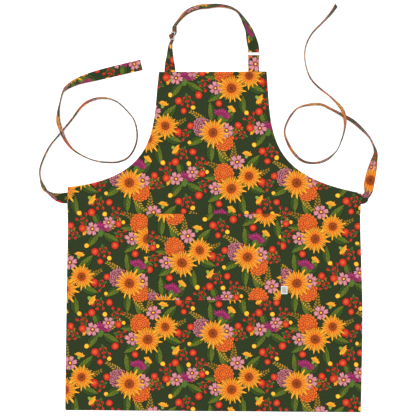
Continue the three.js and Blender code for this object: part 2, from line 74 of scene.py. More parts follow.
# Cloth and tape: thicknesses, gaps, the depth of the sewn tape ends and how far the panel rides over them
CLOTH = 1.2 * MM
TAPE_WIDTH = 26 * MM
TAPE_THICK = 1.4 * MM
GAP = 0.3 * MM
SURFACE_GAP = 0.15 * MM
PLY_PITCH = TAPE_THICK + GAP
SEWN_DEPTH = 20 * MM
RIDE_REACH = 9 * MM
RIDE_FALL = 14 * MM

# Meshes: steps along the panel's edge, over its middle and along a tape, and a stitch's share of its pitch
EDGE_STEP = 4 * MM
GRID_STEP = 8 * MM
GRID_ROW_SHARE = 0.866
GRID_CLEAR_SHARE = 0.55
TAPE_STEP = 3 * MM
ROUTE_STEPS = 12
HALF_TURN = np.linspace(0, 180, 19)
STITCH_SHARE = 0.72

# Panel from its edge inwards, in millimetres: the height of its upper and its under face. Down to HEM_TURN
# the under face is the turned hem, which shows its printed side.
HEM_PROFILE = (
    # inset, over, under
    (0.0, 1.05, 0.95),
    (0.25, 1.70, 0.35),
    (0.8, 2.10, 0.08),
    (2.0, 2.32, 0.0),
    (4.5, 2.40, 0.0),
    (6.6, 2.30, 0.0),
    (7.2, 1.95, 0.0),
    (7.8, 1.95, 0.0),
    (8.4, 2.15, 0.0),
    (9.4, 1.90, 0.0),
    (10.6, 1.32, 0.0),
    (13.0, 1.20, 0.0),
    (17.0, 1.20, 0.0),
    (22.0, 1.20, 0.0),
)
HEM_TURN = 9.4
HEM_STITCH_INSET = 7.5 * MM
HEM_STITCH_HEIGHT = 2.05 * MM
BOX_STITCH_INSET = 3.5 * MM
PUCKERS = (
    # length along the edge, phase, share
    (2.3 * MM, 0, 0.6),
    (5.1 * MM, 1, 0.4),
)

# Pocket and label: marks of their grids from an edge, plies, rows of stitches, the lie of the label. Plain
# numbers are millimetres, and a cut is a place on the printed cloth in metres.
POCKET_MARKS = (0, 0.3, 1.0, 2.2, 2.9, 3.3, 3.7, 4.4, 6.5, 9.5, 10.5, 12)
POCKET_STEP = 4.5
MOUTH_MARKS = (14, 10, 6, 3, 1, 0.3, 0)
MOUTH_HEM_MARKS = (1.6, 0.8, 0, -1.2, -2, -2.8)
POCKET_THICK = 1.25
SEAM_PLY = 0.75
SEAM_FOLD = (9.0, 11.0)
MOUTH_PLY = 0.8
MOUTH_FOLD = 1.6
POCKET_SEAM = 3.3
POCKET_HEM_ROW = 2.0
POCKET_TACK = 9.0
GROOVE_DEPTH = 0.35
POCKET_ROUNDING = 0.42
POCKET_SLACK = 0.7 * MM
POCKET_STITCH_RISE = 0.12 * MM
POCKET_CUT = (0.118, -0.063)
LABEL_MARKS = (0, 0.15, 0.5, 1.2)
LABEL_THICK = 0.8
LABEL_ROUNDING = 0.3
LABEL_BORDER = 1.7 * MM
LABEL_CURL = 0.9 * MM
LABEL_WAVE = 0.25 * MM
LABEL_WAVE_LENGTH = 3.4 * MM

# Half of a tape's section in millimetres, from its edge to its middle, with a groove for each row of stitches
TAPE_PROFILE = (
    # across, face
    (13.0, 0.0),
    (12.9, 0.32),
    (12.55, 0.55),
    (12.0, 0.64),
    (11.4, 0.60),
    (11.1, 0.48),
    (10.7, 0.48),
    (10.3, 0.60),
    (8.5, 0.68),
    (5.0, 0.70),
    (0.0, 0.70),
)
TAPE_STITCH = (10.9 * MM, 0.52 * MM)
BACK_CUT = 2.2 * TAPE_WIDTH

# Neck strap, ring and slider, in metres and degrees. lean is 0 where a tape lies flat and 90 where it stands
# on edge, lift raises it off the surface, half is half the spacing of its two plies, and slip is how far the
# lower ply shows past the upper one at the raised edge.
RING_AT = (0.097, 0.374)
RING_WIRE = 2 * MM
RING_PITCH = 11.5 * MM
RING_CORNER = 1.6 * MM
RING_TURN = RING_WIRE / 2 + GAP + TAPE_THICK / 2 + 0.05 * MM
RING_HEIGHT = RING_TURN + TAPE_THICK / 2 + SURFACE_GAP
SLIDER_AT = (-0.097, 0.410)
SLIDER_TURN = 13
SLIDER_LEAN = 70
SLIDER_BAR = 2 * MM
SLIDER_PITCH = 8.5 * MM
SLIDER_RAIL = 2.4 * MM
SLIDER_BEVEL = 0.55 * MM
SLIDER_STEP = 11 * MM
LOOP_RADIUS = 2.4 * MM
LOOP_WRAP = 215
NECK_LOWER = (
    # x, y, lean, lift, half
    (-0.103, 0.305, 0, 0, 0),
    (-0.103, 0.326, 0, 0, 0),
    (-0.103, 0.338, 18, 0, 0),
    (-0.103, 0.352, 42, 0.0005, 0),
    (-0.1026, 0.368, 57, 0.0015, 0),
)
NECK_UPPER = (
    # x, y, lean, lift, half, slip
    (-0.0825, 0.446, 75, 0.0012, PLY_PITCH / 2, 0.0015),
    (-0.063, 0.4668, 67, 0, PLY_PITCH / 2, 0.003),
    (-0.0375, 0.4784, 64, 0, PLY_PITCH / 2, 0.003),
    (-0.013, 0.4812, 64, 0, PLY_PITCH / 2, 0.0025),
    (0.013, 0.4826, 70, 0, PLY_PITCH / 2, 0.0015),
    (0.038, 0.4788, 74, 0, PLY_PITCH / 2, 0.001),
    (0.0567, 0.4697, 78, 0, PLY_PITCH / 2, 0),
    (0.0685, 0.4562, 74, 0, PLY_PITCH / 2, 0.001),
    (0.0784, 0.4402, 63, 0, PLY_PITCH / 2, 0.003),
    (0.087, 0.4235, 53, 0, 0.00095, 0.003),
    (0.0922, 0.4054, 38, 0, 0.0012, 0.003),
    (0.0955, 0.39, 18, 0, 0.0017, 0.001),
    (0.097, 0.38, 0, 0.0002, RING_TURN, 0),
    (0.097, 0.374, 0, 0, RING_TURN, 0),
)
THREAD_FRONT = (
    # along, offset
    (-0.022, 0),
    (-0.014, -0.0011),
    (-0.0085, -0.0023),
    (-0.0062, -0.0012),
    (-0.0033, 0.00255),
    (0, 0.0042),
    (0.0033, 0.00255),
    (0.0062, -0.0012),
    (0.0085, -0.0023),
    (0.014, -0.0011),
    (0.022, PLY_PITCH / 2),
)
THREAD_BACK = (
    # along, offset
    (0.022, -PLY_PITCH / 2),
    (0.014, -0.0029),
    (0.0085, -0.00415),
    (0.005, -0.0036),
    (0.0024, -0.00275),
    (0, -LOOP_RADIUS),
)
TAB_LEAVE = 0.345
TAB_RISE = (
    # y, plies above the lower one
    (0.354, 1.75),
    (0.344, 1.2),
    (0.334, 1.0),
)

# Waist ties from the sewn end to the loose end, in metres and degrees
TIE_LEFT = (
    # x, y, lean, lift
    (-0.327, 0.024, 0, 0),
    (-0.347, 0.024, 0, 0),
    (-0.362, 0.024, 26, 0),
    (-0.378, 0.0285, 54, 0),
    (-0.393, 0.037, 75, 0),
    (-0.404, 0.049, 66, 0),
    (-0.4115, 0.07, 79, 0),
    (-0.412, 0.094, 78, 0),
    (-0.402, 0.1225, 77, 0),
    (-0.3875, 0.1495, 78, 0),
    (-0.361, 0.1815, 77, 0),
    (-0.334, 0.2145, 76, 0),
    (-0.316, 0.239, 74, 0),
    (-0.296, 0.2545, 72, 0),
    (-0.264, 0.2625, 77, 0),
    (-0.232, 0.255, 84, 0),
    (-0.207, 0.234, 86, 0),
    (-0.1875, 0.2085, 87, 0),
    (-0.1805, 0.176, 86, 0),
    (-0.1855, 0.1465, 86, 0),
    (-0.201, 0.1215, 86, 0),
    (-0.224, 0.11, 85, 0),
    (-0.249, 0.1085, 85, 0),
    (-0.277, 0.1115, 86, 0.0015),
    (-0.305, 0.1215, 86, 0.008),
    (-0.331, 0.1375, 81, 0.0175),
    (-0.349, 0.1595, 73, 0.0255),
    (-0.36, 0.185, 68, 0.028),
    (-0.367, 0.208, 66, 0.0225),
    (-0.3675, 0.231, 74, 0.012),
    (-0.3635, 0.2545, 80, 0.004),
    (-0.3575, 0.276, 75, 0.0005),
    (-0.345, 0.29, 58, 0),
    (-0.32, 0.303, 44, 0),
    (-0.285, 0.314, 23, 0),
    (-0.235, 0.3268, 7, 0),
    (-0.171, 0.342, 3, 0),
)
TIE_RIGHT = (
    # x, y, lean, lift
    (0.331, 0.022, 0, 0),
    (0.353, 0.022, 0, 0),
    (0.362, 0.0255, 44, 0),
    (0.3695, 0.0365, 42, 0),
    (0.3725, 0.056, 13, 0),
    (0.3775, 0.082, 20, 0),
    (0.3835, 0.11, 45, 0),
    (0.3875, 0.132, 66, 0),
    (0.382, 0.1505, 76, 0),
    (0.3725, 0.1685, 76, 0),
    (0.355, 0.188, 70, 0),
    (0.3325, 0.2075, 66, 0),
    (0.309, 0.221, 70, 0),
    (0.285, 0.234, 73, 0),
    (0.258, 0.2465, 74, 0),
    (0.228, 0.246, 76, 0),
    (0.201, 0.2375, 83, 0),
    (0.181, 0.2135, 83, 0),
    (0.17, 0.183, 86, 0),
    (0.177, 0.157, 82, 0),
    (0.192, 0.131, 79, 0),
    (0.2145, 0.1115, 81, 0),
    (0.243, 0.107, 82, 0),
    (0.27, 0.115, 78, 0.0035),
    (0.2935, 0.136, 85, 0.0125),
    (0.3055, 0.1635, 82, 0.022),
    (0.312, 0.1905, 78, 0.0275),
    (0.3115, 0.214, 69, 0.0285),
    (0.3035, 0.237, 69, 0.025),
    (0.281, 0.2625, 78, 0.014),
    (0.2565, 0.283, 77, 0.0055),
    (0.2335, 0.3075, 78, 0.001),
    (0.2205, 0.3435, 83, 0),
    (0.22, 0.38, 83, 0),
    (0.234, 0.413, 85, 0),
    (0.262, 0.443, 83, 0),
    (0.281, 0.464, 77, 0),
    (0.294, 0.483, 70, 0),
)
TIES = (
    # piece, node, route, side that its raised edge leans to, place of its cut on the printed cloth
    ("left_tie_tape", "waist_tie_left", TIE_LEFT, 1, (0.108, 0.092)),
    ("right_tie_tape", "waist_tie_right", TIE_RIGHT, -1, (0.32, 0.124)),
)
NECK_CUT = (0.26, 0.1)
TAB_CUT = (0.176, 0.168)

# Stage in metres and watts
FLOOR_REACH = 6.0
LAMPS = (
    # name, place, size, power
    ("top_light", (0, 0, 5.0), 1.0, 250),
    ("key_light", (-1.1, 1.3, 2.6), 2.2, 24),
)

# The printed repeat in millimetres and degrees. Every second column drops by half a repeat.
REPEAT = (200, 240)
MOTIFS = {
    # kind: rows of u, v, size, turn, laid in this order
    "leaf": (
        (8, 28, 26, 205), (102, 44, 25, 335), (96, 108, 26, 40), (26, 114, 25, 115),
        (2, 74, 24, 175), (70, 6, 24, 275), (162, 42, 25, 205), (236, 46, 26, 20),
        (198, 108, 26, 95), (236, 92, 25, 40), (194, 14, 25, 265), (112, 164, 24, 230),
        (154, 168, 24, 330), (122, 214, 23, 110),
    ),
    "sprig": (
        (4, 100, 29, 150), (112, 82, 28, 15), (50, 132, 27, 85), (246, 66, 28, 0),
        (166, 98, 28, 140), (222, 12, 27, 300), (160, 198, 28, 30),
    ),
    "berries": (
        (132, 58, 18, 200), (68, 176, 18, 160), (90, 212, 18, 120), (138, 138, 18, 280),
        (178, 176, 18, 340), (168, 226, 18, 60), (128, 12, 18, 250),
    ),
    "bud": (
        (106, 24, 16, 320), (80, 124, 15, 75), (240, 112, 15, 50), (100, 186, 16, 170),
    ),
    "carnation": (
        (218, 94, 28, 70), (132, 182, 28, 80),
    ),
    "rosette": (
        (26, 84, 25, 0), (226, 40, 25, 20),
    ),
    "pompon": (
        (172, 74, 24, 0),
    ),
    "blossom": (
        (58, 110, 20, 12), (6, 46, 19, 40), (232, 66, 20, 25), (112, 190, 19, 50),
        (150, 206, 18, 0),
    ),
    "bead": (
        (98, 150, 6, 0), (80, 228, 6, 20), (142, 226, 6, 0), (186, 206, 5, 10), (152, 120, 6, 0),
        (144, 36, 5, 0),
    ),
    "button": (
        (116, 62, 10, 0), (14, 10, 9, 30), (146, 76, 9, 50), (88, 192, 10, 70), (110, 230, 10, 20),
        (174, 202, 9, 0), (166, 150, 10, 40), (118, 136, 10, 10), (60, 198, 9, 60),
        (152, 14, 9, 15), (130, 112, 8, 35),
    ),
    "daisy": (
        (44, 46, 37, 10), (86, 76, 33, 35), (200, 60, 37, 60),
    ),
}


def srgb(red, green, blue):
    """A colour given as it looks on screen, 0 to 255, in the linear values that shaders take."""
    shares = (red / 255, green / 255, blue / 255)
    return tuple(s / 12.92 if s <= 0.04045 else ((s + 0.055) / 1.055) ** 2.4 for s in shares)


def ink(name, description, red, green, blue):
    """A colour property."""
    colour = srgb(red, green, blue)
    return bpy.props.FloatVectorProperty(
        name=name, description=description, subtype="COLOR", size=3, min=0, max=1, default=colour
    )


def length(name, description, metres):
    """A size property in metres."""
    return bpy.props.FloatProperty(
        name=name, description=description, default=metres, unit="LENGTH", precision=4
    )


class ApronInks(bpy.types.PropertyGroup):
    """Colours of the cloth, its print, the thread and the fittings."""

    ground: ink("Ground", "Dark green ground of the printed cotton", 55, 71, 37)
    gold: ink("Gold", "Petal tips of the daisies", 238, 176, 40)
    amber: ink("Amber", "Petal roots of the daisies and shade of the beads", 212, 96, 24)
    bark: ink("Bark", "Eyes of the daisies", 91, 39, 11)
    orange: ink("Orange", "Petals of the rosettes", 212, 110, 39)
    flame: ink("Flame", "Folds of the rosettes", 180, 59, 16)
    rose: ink("Rose", "Petals of the blossoms", 188, 123, 130)
    wine: ink("Wine", "Veins and eyes of the blossoms", 103, 27, 45)
    magenta: ink("Magenta", "Petals of the carnations", 158, 44, 98)
    plum: ink("Plum", "Shade of the carnations", 92, 20, 58)
    scarlet: ink("Scarlet", "Buttons and berries", 187, 43, 25)
    crimson: ink("Crimson", "Shade of the buttons and berries", 119, 18, 18)
    lime: ink("Lime", "Light half of each leaf", 124, 142, 42)
    moss: ink("Moss", "Dark half of each leaf", 70, 97, 35)
    ochre: ink("Ochre", "Sprigs", 188, 137, 36)
    wrong_side: ink("Wrong side", "Undyed yarn that pales the back of the cotton", 128, 136, 104)
    thread: ink("Thread", "Sewing thread", 43, 52, 30)
    label: ink("Label border", "Border of the woven tag", 205, 205, 202)
    label_field: ink("Label field", "Plain field of the woven tag", 148, 151, 149)
    metal: ink("Metal", "Plated slider and ring", 178, 175, 172)


class ApronCloth(bpy.types.PropertyGroup):
    """Sizes of the sewing and of the lie of the cloth."""

    ripple: length("Ripple", "Height of the soft waves in the lying skirt", 2.2 * MM)
    pucker: length("Pucker", "Height of the puckers along the hems", 0.22 * MM)
    pocket_open: length("Pocket mouth", "How far the pocket's mouth stands open", 6.2 * MM)
    pocket_hem: length("Pocket hem", "Depth of the turned hem at the pocket's mouth", 20 * MM)
    stitch_pitch: length("Stitch pitch", "Distance from one stitch to the next", 3.4 * MM)
    stitch_thick: length("Thread width", "Thickness of the sewing thread", 0.6 * MM)
    weave_pitch: length("Weave pitch", "Distance between two yarns of the cotton", 0.62 * MM)


class ApronStage(bpy.types.PropertyGroup):
    """Floor, light and camera."""

    floor: ink("Floor", "Pale studio floor", 252, 252, 252)
    camera_height: length("Camera height", "Height of the camera above the floor", 4.0)
    view_width: length("View width", "Width of the floor that the camera takes in", 0.99424)
    view_centre: bpy.props.FloatVectorProperty(
        name="View centre", description="Point of the floor under the camera", size=2,
        default=(-0.012, 0.0), unit="LENGTH",
    )


# Shader nodes

class Value:
    """A number in a shader, which takes part in plain formulas."""

    def __init__(self, net, socket):
        self.net = net
        self.socket = socket

    def __add__(self, other):
        return self.net.math("ADD", self, other)

    def __sub__(self, other):
        return self.net.math("SUBTRACT", self, other)

    def __rsub__(self, other):
        return self.net.math("SUBTRACT", other, self)

    def __mul__(self, other):
        return self.net.math("MULTIPLY", self, other)

    def __truediv__(self, other):
        return self.net.math("DIVIDE", self, other)

    def __pow__(self, other):
        return self.net.math("POWER", self, other)

    def __abs__(self):
        return self.net.math("ABSOLUTE", self)

    def sine(self):
        return self.net.math("SINE", self)

    def ramp(self, low, high, to_low=0.0, to_high=1.0):
        """Eases from to_low to to_high as the number goes from low to high."""
        values = {"Value": self, "From Min": low, "From Max": high, "To Min": to_low, "To Max": to_high}
        made = self.net.node("ShaderNodeMapRange", values, interpolation_type="SMOOTHSTEP", clamp=False)
        return Value(self.net, made.outputs["Result"])


class Net:
    """Adds nodes to a tree. A socket given as a value is linked, and anything else is set on the socket."""

    def __init__(self, tree):
        self.tree = tree

    def put(self, socket, value):
        value = value.socket if isinstance(value, Value) else value
        if isinstance(value, bpy.types.NodeSocket):
            self.tree.links.new(value, socket)
        elif socket.type == "RGBA":
            socket.default_value = (*value[:3], 1)
        else:
            socket.default_value = value

    def node(self, kind, values=None, **settings):
        made = self.tree.nodes.new(kind)
        for name, value in settings.items():
            setattr(made, name, value)
        self.fill(made.inputs, values or {})
        return made

    def fill(self, sockets, values):
        for name, value in values.items():
            self.put(sockets[name], value)

    def math(self, operation, *values):
        made = self.node("ShaderNodeMath", dict(enumerate(values)), operation=operation)
        return Value(self, made.outputs[0])

    def vector(self, operation, *values):
        made = self.node("ShaderNodeVectorMath", dict(enumerate(values)), operation=operation)
        return made.outputs["Vector"]

    def dot(self, place, row):
        made = self.node("ShaderNodeVectorMath", {0: place, 1: row}, operation="DOT_PRODUCT")
        return Value(self, made.outputs["Value"])

    def mix(self, share, under, over):
        values = {0: share, 6: under, 7: over}
        return self.node("ShaderNodeMix", values, data_type="RGBA").outputs[2]

    def shade(self, colour, value):
        """A colour made lighter or darker by a value near 1."""
        values = {0: value, 6: (0, 0, 0), 7: colour}
        return self.node("ShaderNodeMix", values, data_type="RGBA", clamp_factor=False).outputs[2]

    def noise_node(self, place, scale, detail=2.0):
        values = {"Vector": place, "Scale": scale, "Detail": detail}
        return self.node("ShaderNodeTexNoise", values).outputs

    def noise(self, place, scale, detail=2.0):
        return Value(self, self.noise_node(place, scale, detail)["Fac"])

    def bump(self, height, strength, depth):
        values = {"Height": height, "Strength": strength, "Distance": depth}
        return self.node("ShaderNodeBump", values).outputs["Normal"]

    def xy(self, place):
        parts = self.node("ShaderNodeSeparateXYZ", {0: place}).outputs
        return Value(self, parts[0]), Value(self, parts[1])

    def polar(self, x, y):
        return self.math("SQRT", x * x + y * y), self.math("ARCTAN2", y, x)

    def lobes(self, angle, count, phase=0):
        """How near an angle is to the middle of one of count lobes: 0 between two of them, 1 on a middle."""
        return abs(self.math("COSINE", angle * (count / 2) + phase))

    def petal_chance(self, angle, count, seed):
        """A number from 0 to 1 for each of count petals, the same all over a petal."""
        petal = self.math("FLOOR", angle * (count / (2 * math.pi)) + 0.5)
        petal = self.math("FLOORED_MODULO", petal, count)
        return self.math("FRACT", (petal * 12.9898 + seed).sine() * 437.585)

    def lay(self, under, inside, tone, soft=0.05, reach=0.2):
        """Lays a tone where inside is above 0, and darkens what is under it a little close to the edge."""
        shaded = self.shade(under, inside.ramp(-reach, 0, 1, 0.55))
        return self.mix(inside.ramp(0, soft), shaded, tone)


def new_group(name, inputs, outputs):
    """An empty shader node group with named sockets: its net, its inputs and its output node's sockets."""
    tree = bpy.data.node_groups.new(name, "ShaderNodeTree")
    for way, sockets in (("INPUT", inputs), ("OUTPUT", outputs)):
        for socket, kind in sockets.items():
            tree.interface.new_socket(socket, in_out=way, socket_type=f"NodeSocket{kind}")
    net = Net(tree)
    given = dict(net.node("NodeGroupInput").outputs.items())
    given.update((name, Value(net, given[name])) for name, kind in inputs.items() if kind == "Float")
    return net, given, net.node("NodeGroupOutput").inputs


def motif_group(name, inks, draw):
    """A group that paints one motif of size 1 about the origin of X and Y over Under. Seed varies it."""
    places = dict.fromkeys(("X", "Y", "Seed"), "Float")
    colours = dict.fromkeys(("Under", *inks), "Color")
    net, given, out = new_group(f"Print {name}", {**places, **colours}, {"Colour": "Color"})
    net.put(out["Colour"], draw(net, given))
    return net.tree


def draw_daisy(net, given):
    """Two rings of pointed, uneven petals with a warm streak each, about a seeded eye."""
    radius, angle = net.polar(given["X"], given["Y"])
    petals = 17
    chance = net.petal_chance(angle, petals, given["Seed"])
    lobe = net.lobes(angle, petals)
    tone = net.mix(radius.ramp(0.2, 0.8), given["Root"], given["Tip"])
    back = net.lobes(angle, petals, math.pi / 2) ** 1.3 * 0.78 - radius
    behind = net.shade(tone, radius.ramp(0.4, 0.95, 0.5, 0.85))
    colour = net.lay(given["Under"], back, behind)
    front = lobe ** 1.35 * (chance * 0.3 + 0.8) - radius
    petal = net.mix(chance * 0.2, tone, given["Root"])
    petal = net.mix(lobe.ramp(0.86, 0.98) * radius.ramp(1.0, 0.6, 0, 0.8), petal, given["Root"])
    petal = net.shade(petal, front.ramp(0, 0.25, 0.74, 1.12))
    petal = net.shade(petal, net.lobes(angle, 7 * petals).ramp(0, 1, 0.88, 1.05))
    colour = net.lay(colour, front, petal, reach=0.1)
    seeds = (radius * 80).sine() * net.math("COSINE", angle * petals)
    eye = net.mix(seeds.ramp(0, 0.8), given["Eye"], given["Root"])
    eye = net.shade(eye, radius.ramp(0.05, 0.2, 0.55, 1.05))
    colour = net.mix(radius.ramp(0.36, 0.25, 0, 0.85), colour, given["Eye"])
    return net.mix(radius.ramp(0.24, 0.2), colour, eye)


def draw_rosette(net, given):
    """Scalloped rounds, each a little smaller than the one under it."""
    radius, angle = net.polar(given["X"], given["Y"])
    colour = given["Under"]
    rounds = ((1.0, 15, 0.0), (0.8, 13, 0.8), (0.6, 11, 0.3), (0.41, 8, 0.5), (0.22, 5, 0.1))
    for size, count, phase in rounds:
        turned = angle + 2 * phase / count
        lobe = net.lobes(turned, count) ** 0.55
        chance = net.petal_chance(turned, count, given["Seed"] + phase)
        inside = (lobe + chance) * (0.16 * size) + 0.74 * size - radius
        tone = net.mix(inside.ramp(0.01, 0.2), given["Petal"], given["Fold"])
        tone = net.mix(chance * 0.35, tone, given["Fold"])
        tone = net.shade(tone, lobe.ramp(0.2, 0.9, 0.68, 1.12))
        colour = net.lay(colour, inside, tone, 0.04, 0.12)
    return colour


def draw_blossom(net, given):
    """Six notched petals with fine veins."""
    radius, angle = net.polar(given["X"], given["Y"])
    petals = 6
    lobe = net.lobes(angle, petals)
    notch = lobe.ramp(0.9, 1, 1, 0.86)
    chance = net.petal_chance(angle, petals, given["Seed"])
    inside = lobe ** 0.36 * notch * (chance * 0.16 + 0.86) - radius
    veins = net.lobes(angle, 5 * petals) ** 2 * radius.ramp(0.85, 0.2, 0, 0.75)
    petal = net.mix(veins, given["Petal"], given["Vein"])
    petal = net.shade(petal, inside.ramp(0, 0.25, 0.66, 1.1))
    colour = net.lay(given["Under"], inside, petal, 0.06)
    colour = net.mix(radius.ramp(0.34, 0.22), colour, given["Vein"])
    return net.mix(radius.ramp(0.15, 0.1), colour, given["Eye"])


def draw_carnation(net, given):
    """A fringed fan seen from the side, in a green cup."""
    radius, angle = net.polar(given["X"], given["Y"])
    fringes = 26
    chance = net.petal_chance(angle, fringes, given["Seed"])
    edge = net.lobes(angle, fringes) ** 0.8 * (chance * 0.2 + 0.14) + 0.68
    inside = net.math("MINIMUM", edge - radius, 1.25 - abs(angle))
    folds = net.lobes(angle, 17, 0.6) ** 1.5
    petal = net.mix(folds * 0.55, given["Petal"], given["Shade"])
    petal = net.mix(radius.ramp(0.8, 0.3, 0, 0.6), petal, given["Shade"])
    petal = net.shade(petal, (radius * 22).sine().ramp(-1, 1, 0.82, 1.12))
    colour = net.lay(given["Under"], inside, petal, 0.06)
    x, y = given["X"] + 0.06, given["Y"] * 1.35
    cup_tone = net.shade(given["Cup"], net.lobes(angle, 9).ramp(0, 1, 0.7, 1.15))
    return net.mix((x * x + y * y).ramp(0.115, 0.08), colour, cup_tone)


def draw_button(net, given):
    """A small domed head, lightest in its middle."""
    radius, angle = net.polar(given["X"], given["Y"])
    inside = net.lobes(angle, 8) ** 0.7 * 0.12 + 0.86 - radius
    tone = net.mix(radius.ramp(0.5, 1.0, 0, 0.6), given["Petal"], given["Shade"])
    tone = net.mix(radius.ramp(0.62, 0.1, 0, 0.5), tone, given["Eye"])
    tone = net.shade(tone, (radius * 20).sine().ramp(-1, 1, 0.86, 1.06))
    tone = net.shade(tone, net.lobes(angle, 24).ramp(0, 1, 0.9, 1.05))
    return net.lay(given["Under"], inside, tone, 0.1, 0.3)


def draw_leaf(net, given):
    """A pointed leaf, light on one side of its rib."""
    x = given["X"]
    bent = given["Y"] - x * x * 0.16
    away = abs(bent)
    inside = x * x * -0.4 + 0.4 - away
    veins = ((x - away * 1.3) * 17).sine()
    tone = net.mix(bent.ramp(-0.03, 0.03), given["Dark"], given["Light"])
    tone = net.mix(x.ramp(-0.7, 0.6, 0.45, 0), tone, given["Dark"])
    tone = net.shade(tone, veins.ramp(-1, 1, 0.74, 1.14))
    tone = net.mix(away.ramp(0.04, 0.015), tone, given["Light"])
    return net.lay(given["Under"], inside, tone, reach=0.1)


def draw_sprig(net, given):
    """A stem with paired leaflets that shrink towards its tip."""
    x = given["X"]
    away = abs(given["Y"] - x * x * 0.2)
    pitch, last = 0.25, 0.875
    slanted = x - away * 0.75
    step = net.math("WRAP", slanted, pitch / 2, -pitch / 2)
    foot = slanted - step
    size = foot.ramp(-1, 1.05, 1.0, 0.35) * 0.18
    reach = (away - size) / size
    width = step / (pitch * 0.34)
    whole = net.math("LESS_THAN", abs(foot), last + pitch / 4)
    leaflet = (reach * reach + width * width).ramp(1.0, 0.7) * whole
    stem = away.ramp(0.035, 0.02) * abs(x).ramp(1.0, 0.96)
    tone = net.shade(given["Light"], reach.ramp(-1, 1, 0.6, 1.15))
    shaded = net.shade(given["Under"], leaflet.ramp(-0.5, 1, 1, 0.55))
    return net.mix(stem, net.mix(leaflet, shaded, tone), given["Dark"])


def draw_berries(net, given):
    """A spray of berries on fine stalks."""
    x, away = given["X"], abs(given["Y"])
    fork = abs(away - (x * 0.5 + 0.45))
    stalk = net.math("MINIMUM", fork, away).ramp(0.05, 0.025) * (x * x + away * away).ramp(0.85, 0.8)
    colour = net.mix(stalk, given["Under"], given["Stalk"])
    for at_x, at_y, size in ((0.8, 0, 0.045), (0.5, 0.7, 0.05), (-0.28, 0.33, 0.04), (0.2, 0.14, 0.03)):
        right, up = x - at_x, away - at_y
        tone = net.mix((up - right).ramp(-0.2, 0.2), given["Shade"], given["Fruit"])
        colour = net.mix((right * right + up * up).ramp(size, 0.75 * size), colour, tone)
    return colour


MOTIF_KINDS = {
    # kind: (drawing, socket of each ink: property that fills it)
    "daisy": (draw_daisy, {"Tip": "gold", "Root": "amber", "Eye": "bark"}),
    "rosette": (draw_rosette, {"Petal": "orange", "Fold": "flame"}),
    "pompon": (draw_rosette, {"Petal": "rose", "Fold": "wine"}),
    "blossom": (draw_blossom, {"Petal": "rose", "Vein": "wine", "Eye": "gold"}),
    "carnation": (draw_carnation, {"Petal": "magenta", "Shade": "plum", "Cup": "moss"}),
    "bud": (draw_carnation, {"Petal": "gold", "Shade": "amber", "Cup": "lime"}),
    "button": (draw_button, {"Petal": "scarlet", "Shade": "crimson", "Eye": "orange"}),
    "bead": (draw_button, {"Petal": "gold", "Shade": "amber", "Eye": "gold"}),
    "leaf": (draw_leaf, {"Light": "lime", "Dark": "moss"}),
    "sprig": (draw_sprig, {"Light": "ochre", "Dark": "moss"}),
    "berries": (draw_berries, {"Fruit": "scarlet", "Shade": "crimson", "Stalk": "moss"}),
}


def print_group(inks):
    """The whole printed cloth: every motif of the repeat, one over the other, on the ground."""
    name = "Flower print"
    if name in bpy.data.node_groups:
        return bpy.data.node_groups[name]
    net, given, out = new_group(name, {"Place": "Vector"}, {"Colour": "Color"})
    groups = {kind: motif_group(kind, sockets, draw) for kind, (draw, sockets) in MOTIF_KINDS.items()}
    wide, tall = REPEAT[0] * MM, REPEAT[1] * MM
    place = given["Place"]
    for scale, sway in ((45.0, 4 * MM), (220.0, 1.6 * MM)):
        waver = net.vector("SUBTRACT", net.noise_node(given["Place"], scale)["Color"], (0.5, 0.5, 0.5))
        place = net.vector("ADD", place, net.vector("MULTIPLY", waver, (sway, sway, 0)))
    column, row = net.dot(place, (1 / wide, 0, 0)), net.dot(place, (-0.5 / wide, 1 / tall, 0))
    lattice = net.node("ShaderNodeCombineXYZ", {0: column, 1: row}).outputs[0]
    colour = inks.ground
    motifs = [(kind, *row) for kind, rows in MOTIFS.items() for row in rows]
    for count, (kind, u, v, size, turn) in enumerate(motifs):
        middle = (u * MM / wide, v * MM / tall - 0.5 * u * MM / wide, 0)
        cell = net.vector("WRAP", net.vector("SUBTRACT", lattice, middle), (0.5,) * 3, (-0.5,) * 3)
        cos, sin = math.cos(math.radians(turn)) / (size * MM), math.sin(math.radians(turn)) / (size * MM)
        values = {
            "X": net.dot(cell, (wide * cos + tall / 2 * sin, tall * sin, 0)),
            "Y": net.dot(cell, (tall / 2 * cos - wide * sin, tall * cos, 0)),
            "Seed": 1.7 * count,
            "Under": colour,
            **{socket: getattr(inks, ink_name) for socket, ink_name in MOTIF_KINDS[kind][1].items()},
        }
        colour = net.node("ShaderNodeGroup", values, node_tree=groups[kind]).outputs["Colour"]
    brush = net.noise(given["Place"], 320.0, 3.0).ramp(0.3, 0.7, 0.82, 1.14)
    net.put(out["Colour"], net.shade(colour, brush))
    return net.tree


def weave_group():
    """Plain weave: the height of its yarns, and a painted shade that darkens the colour between them and
    lightens it on their tops.
    """
    name = "Plain weave"
    if name in bpy.data.node_groups:
        return bpy.data.node_groups[name]
    inputs, outputs = {"Place": "Vector", "Pitch": "Float"}, {"Height": "Float", "Shade": "Float"}
    net, given, out = new_group(name, inputs, outputs)
    turns = net.math("DIVIDE", math.pi, given["Pitch"])
    x, y = net.xy(given["Place"])
    slub = net.noise(net.vector("MULTIPLY", given["Place"], (1, 0.15, 1)), 900.0)
    height = (x * turns).sine() * (y * turns).sine() * 0.35 + slub
    # Shade is painted shade and light: it darkens the colour in the hollows between the yarns and lightens it
    # on their tops
    net.fill(out, {"Height": height, "Shade": height.ramp(0.1, 0.9, 0.93, 1.04)})
    return net.tree


def cloth_place(net):
    """The place of a point on its cloth before sewing, in metres."""
    return net.node("ShaderNodeUVMap", uv_map=CLOTH_MAP).outputs["UV"]


def object_place(net):
    return net.node("ShaderNodeTexCoord").outputs["Object"]


def new_material(name):
    made = bpy.data.materials.new(name)
    made.use_nodes = True
    net = Net(made.node_tree)
    return made, net, made.node_tree.nodes["Principled BSDF"].inputs


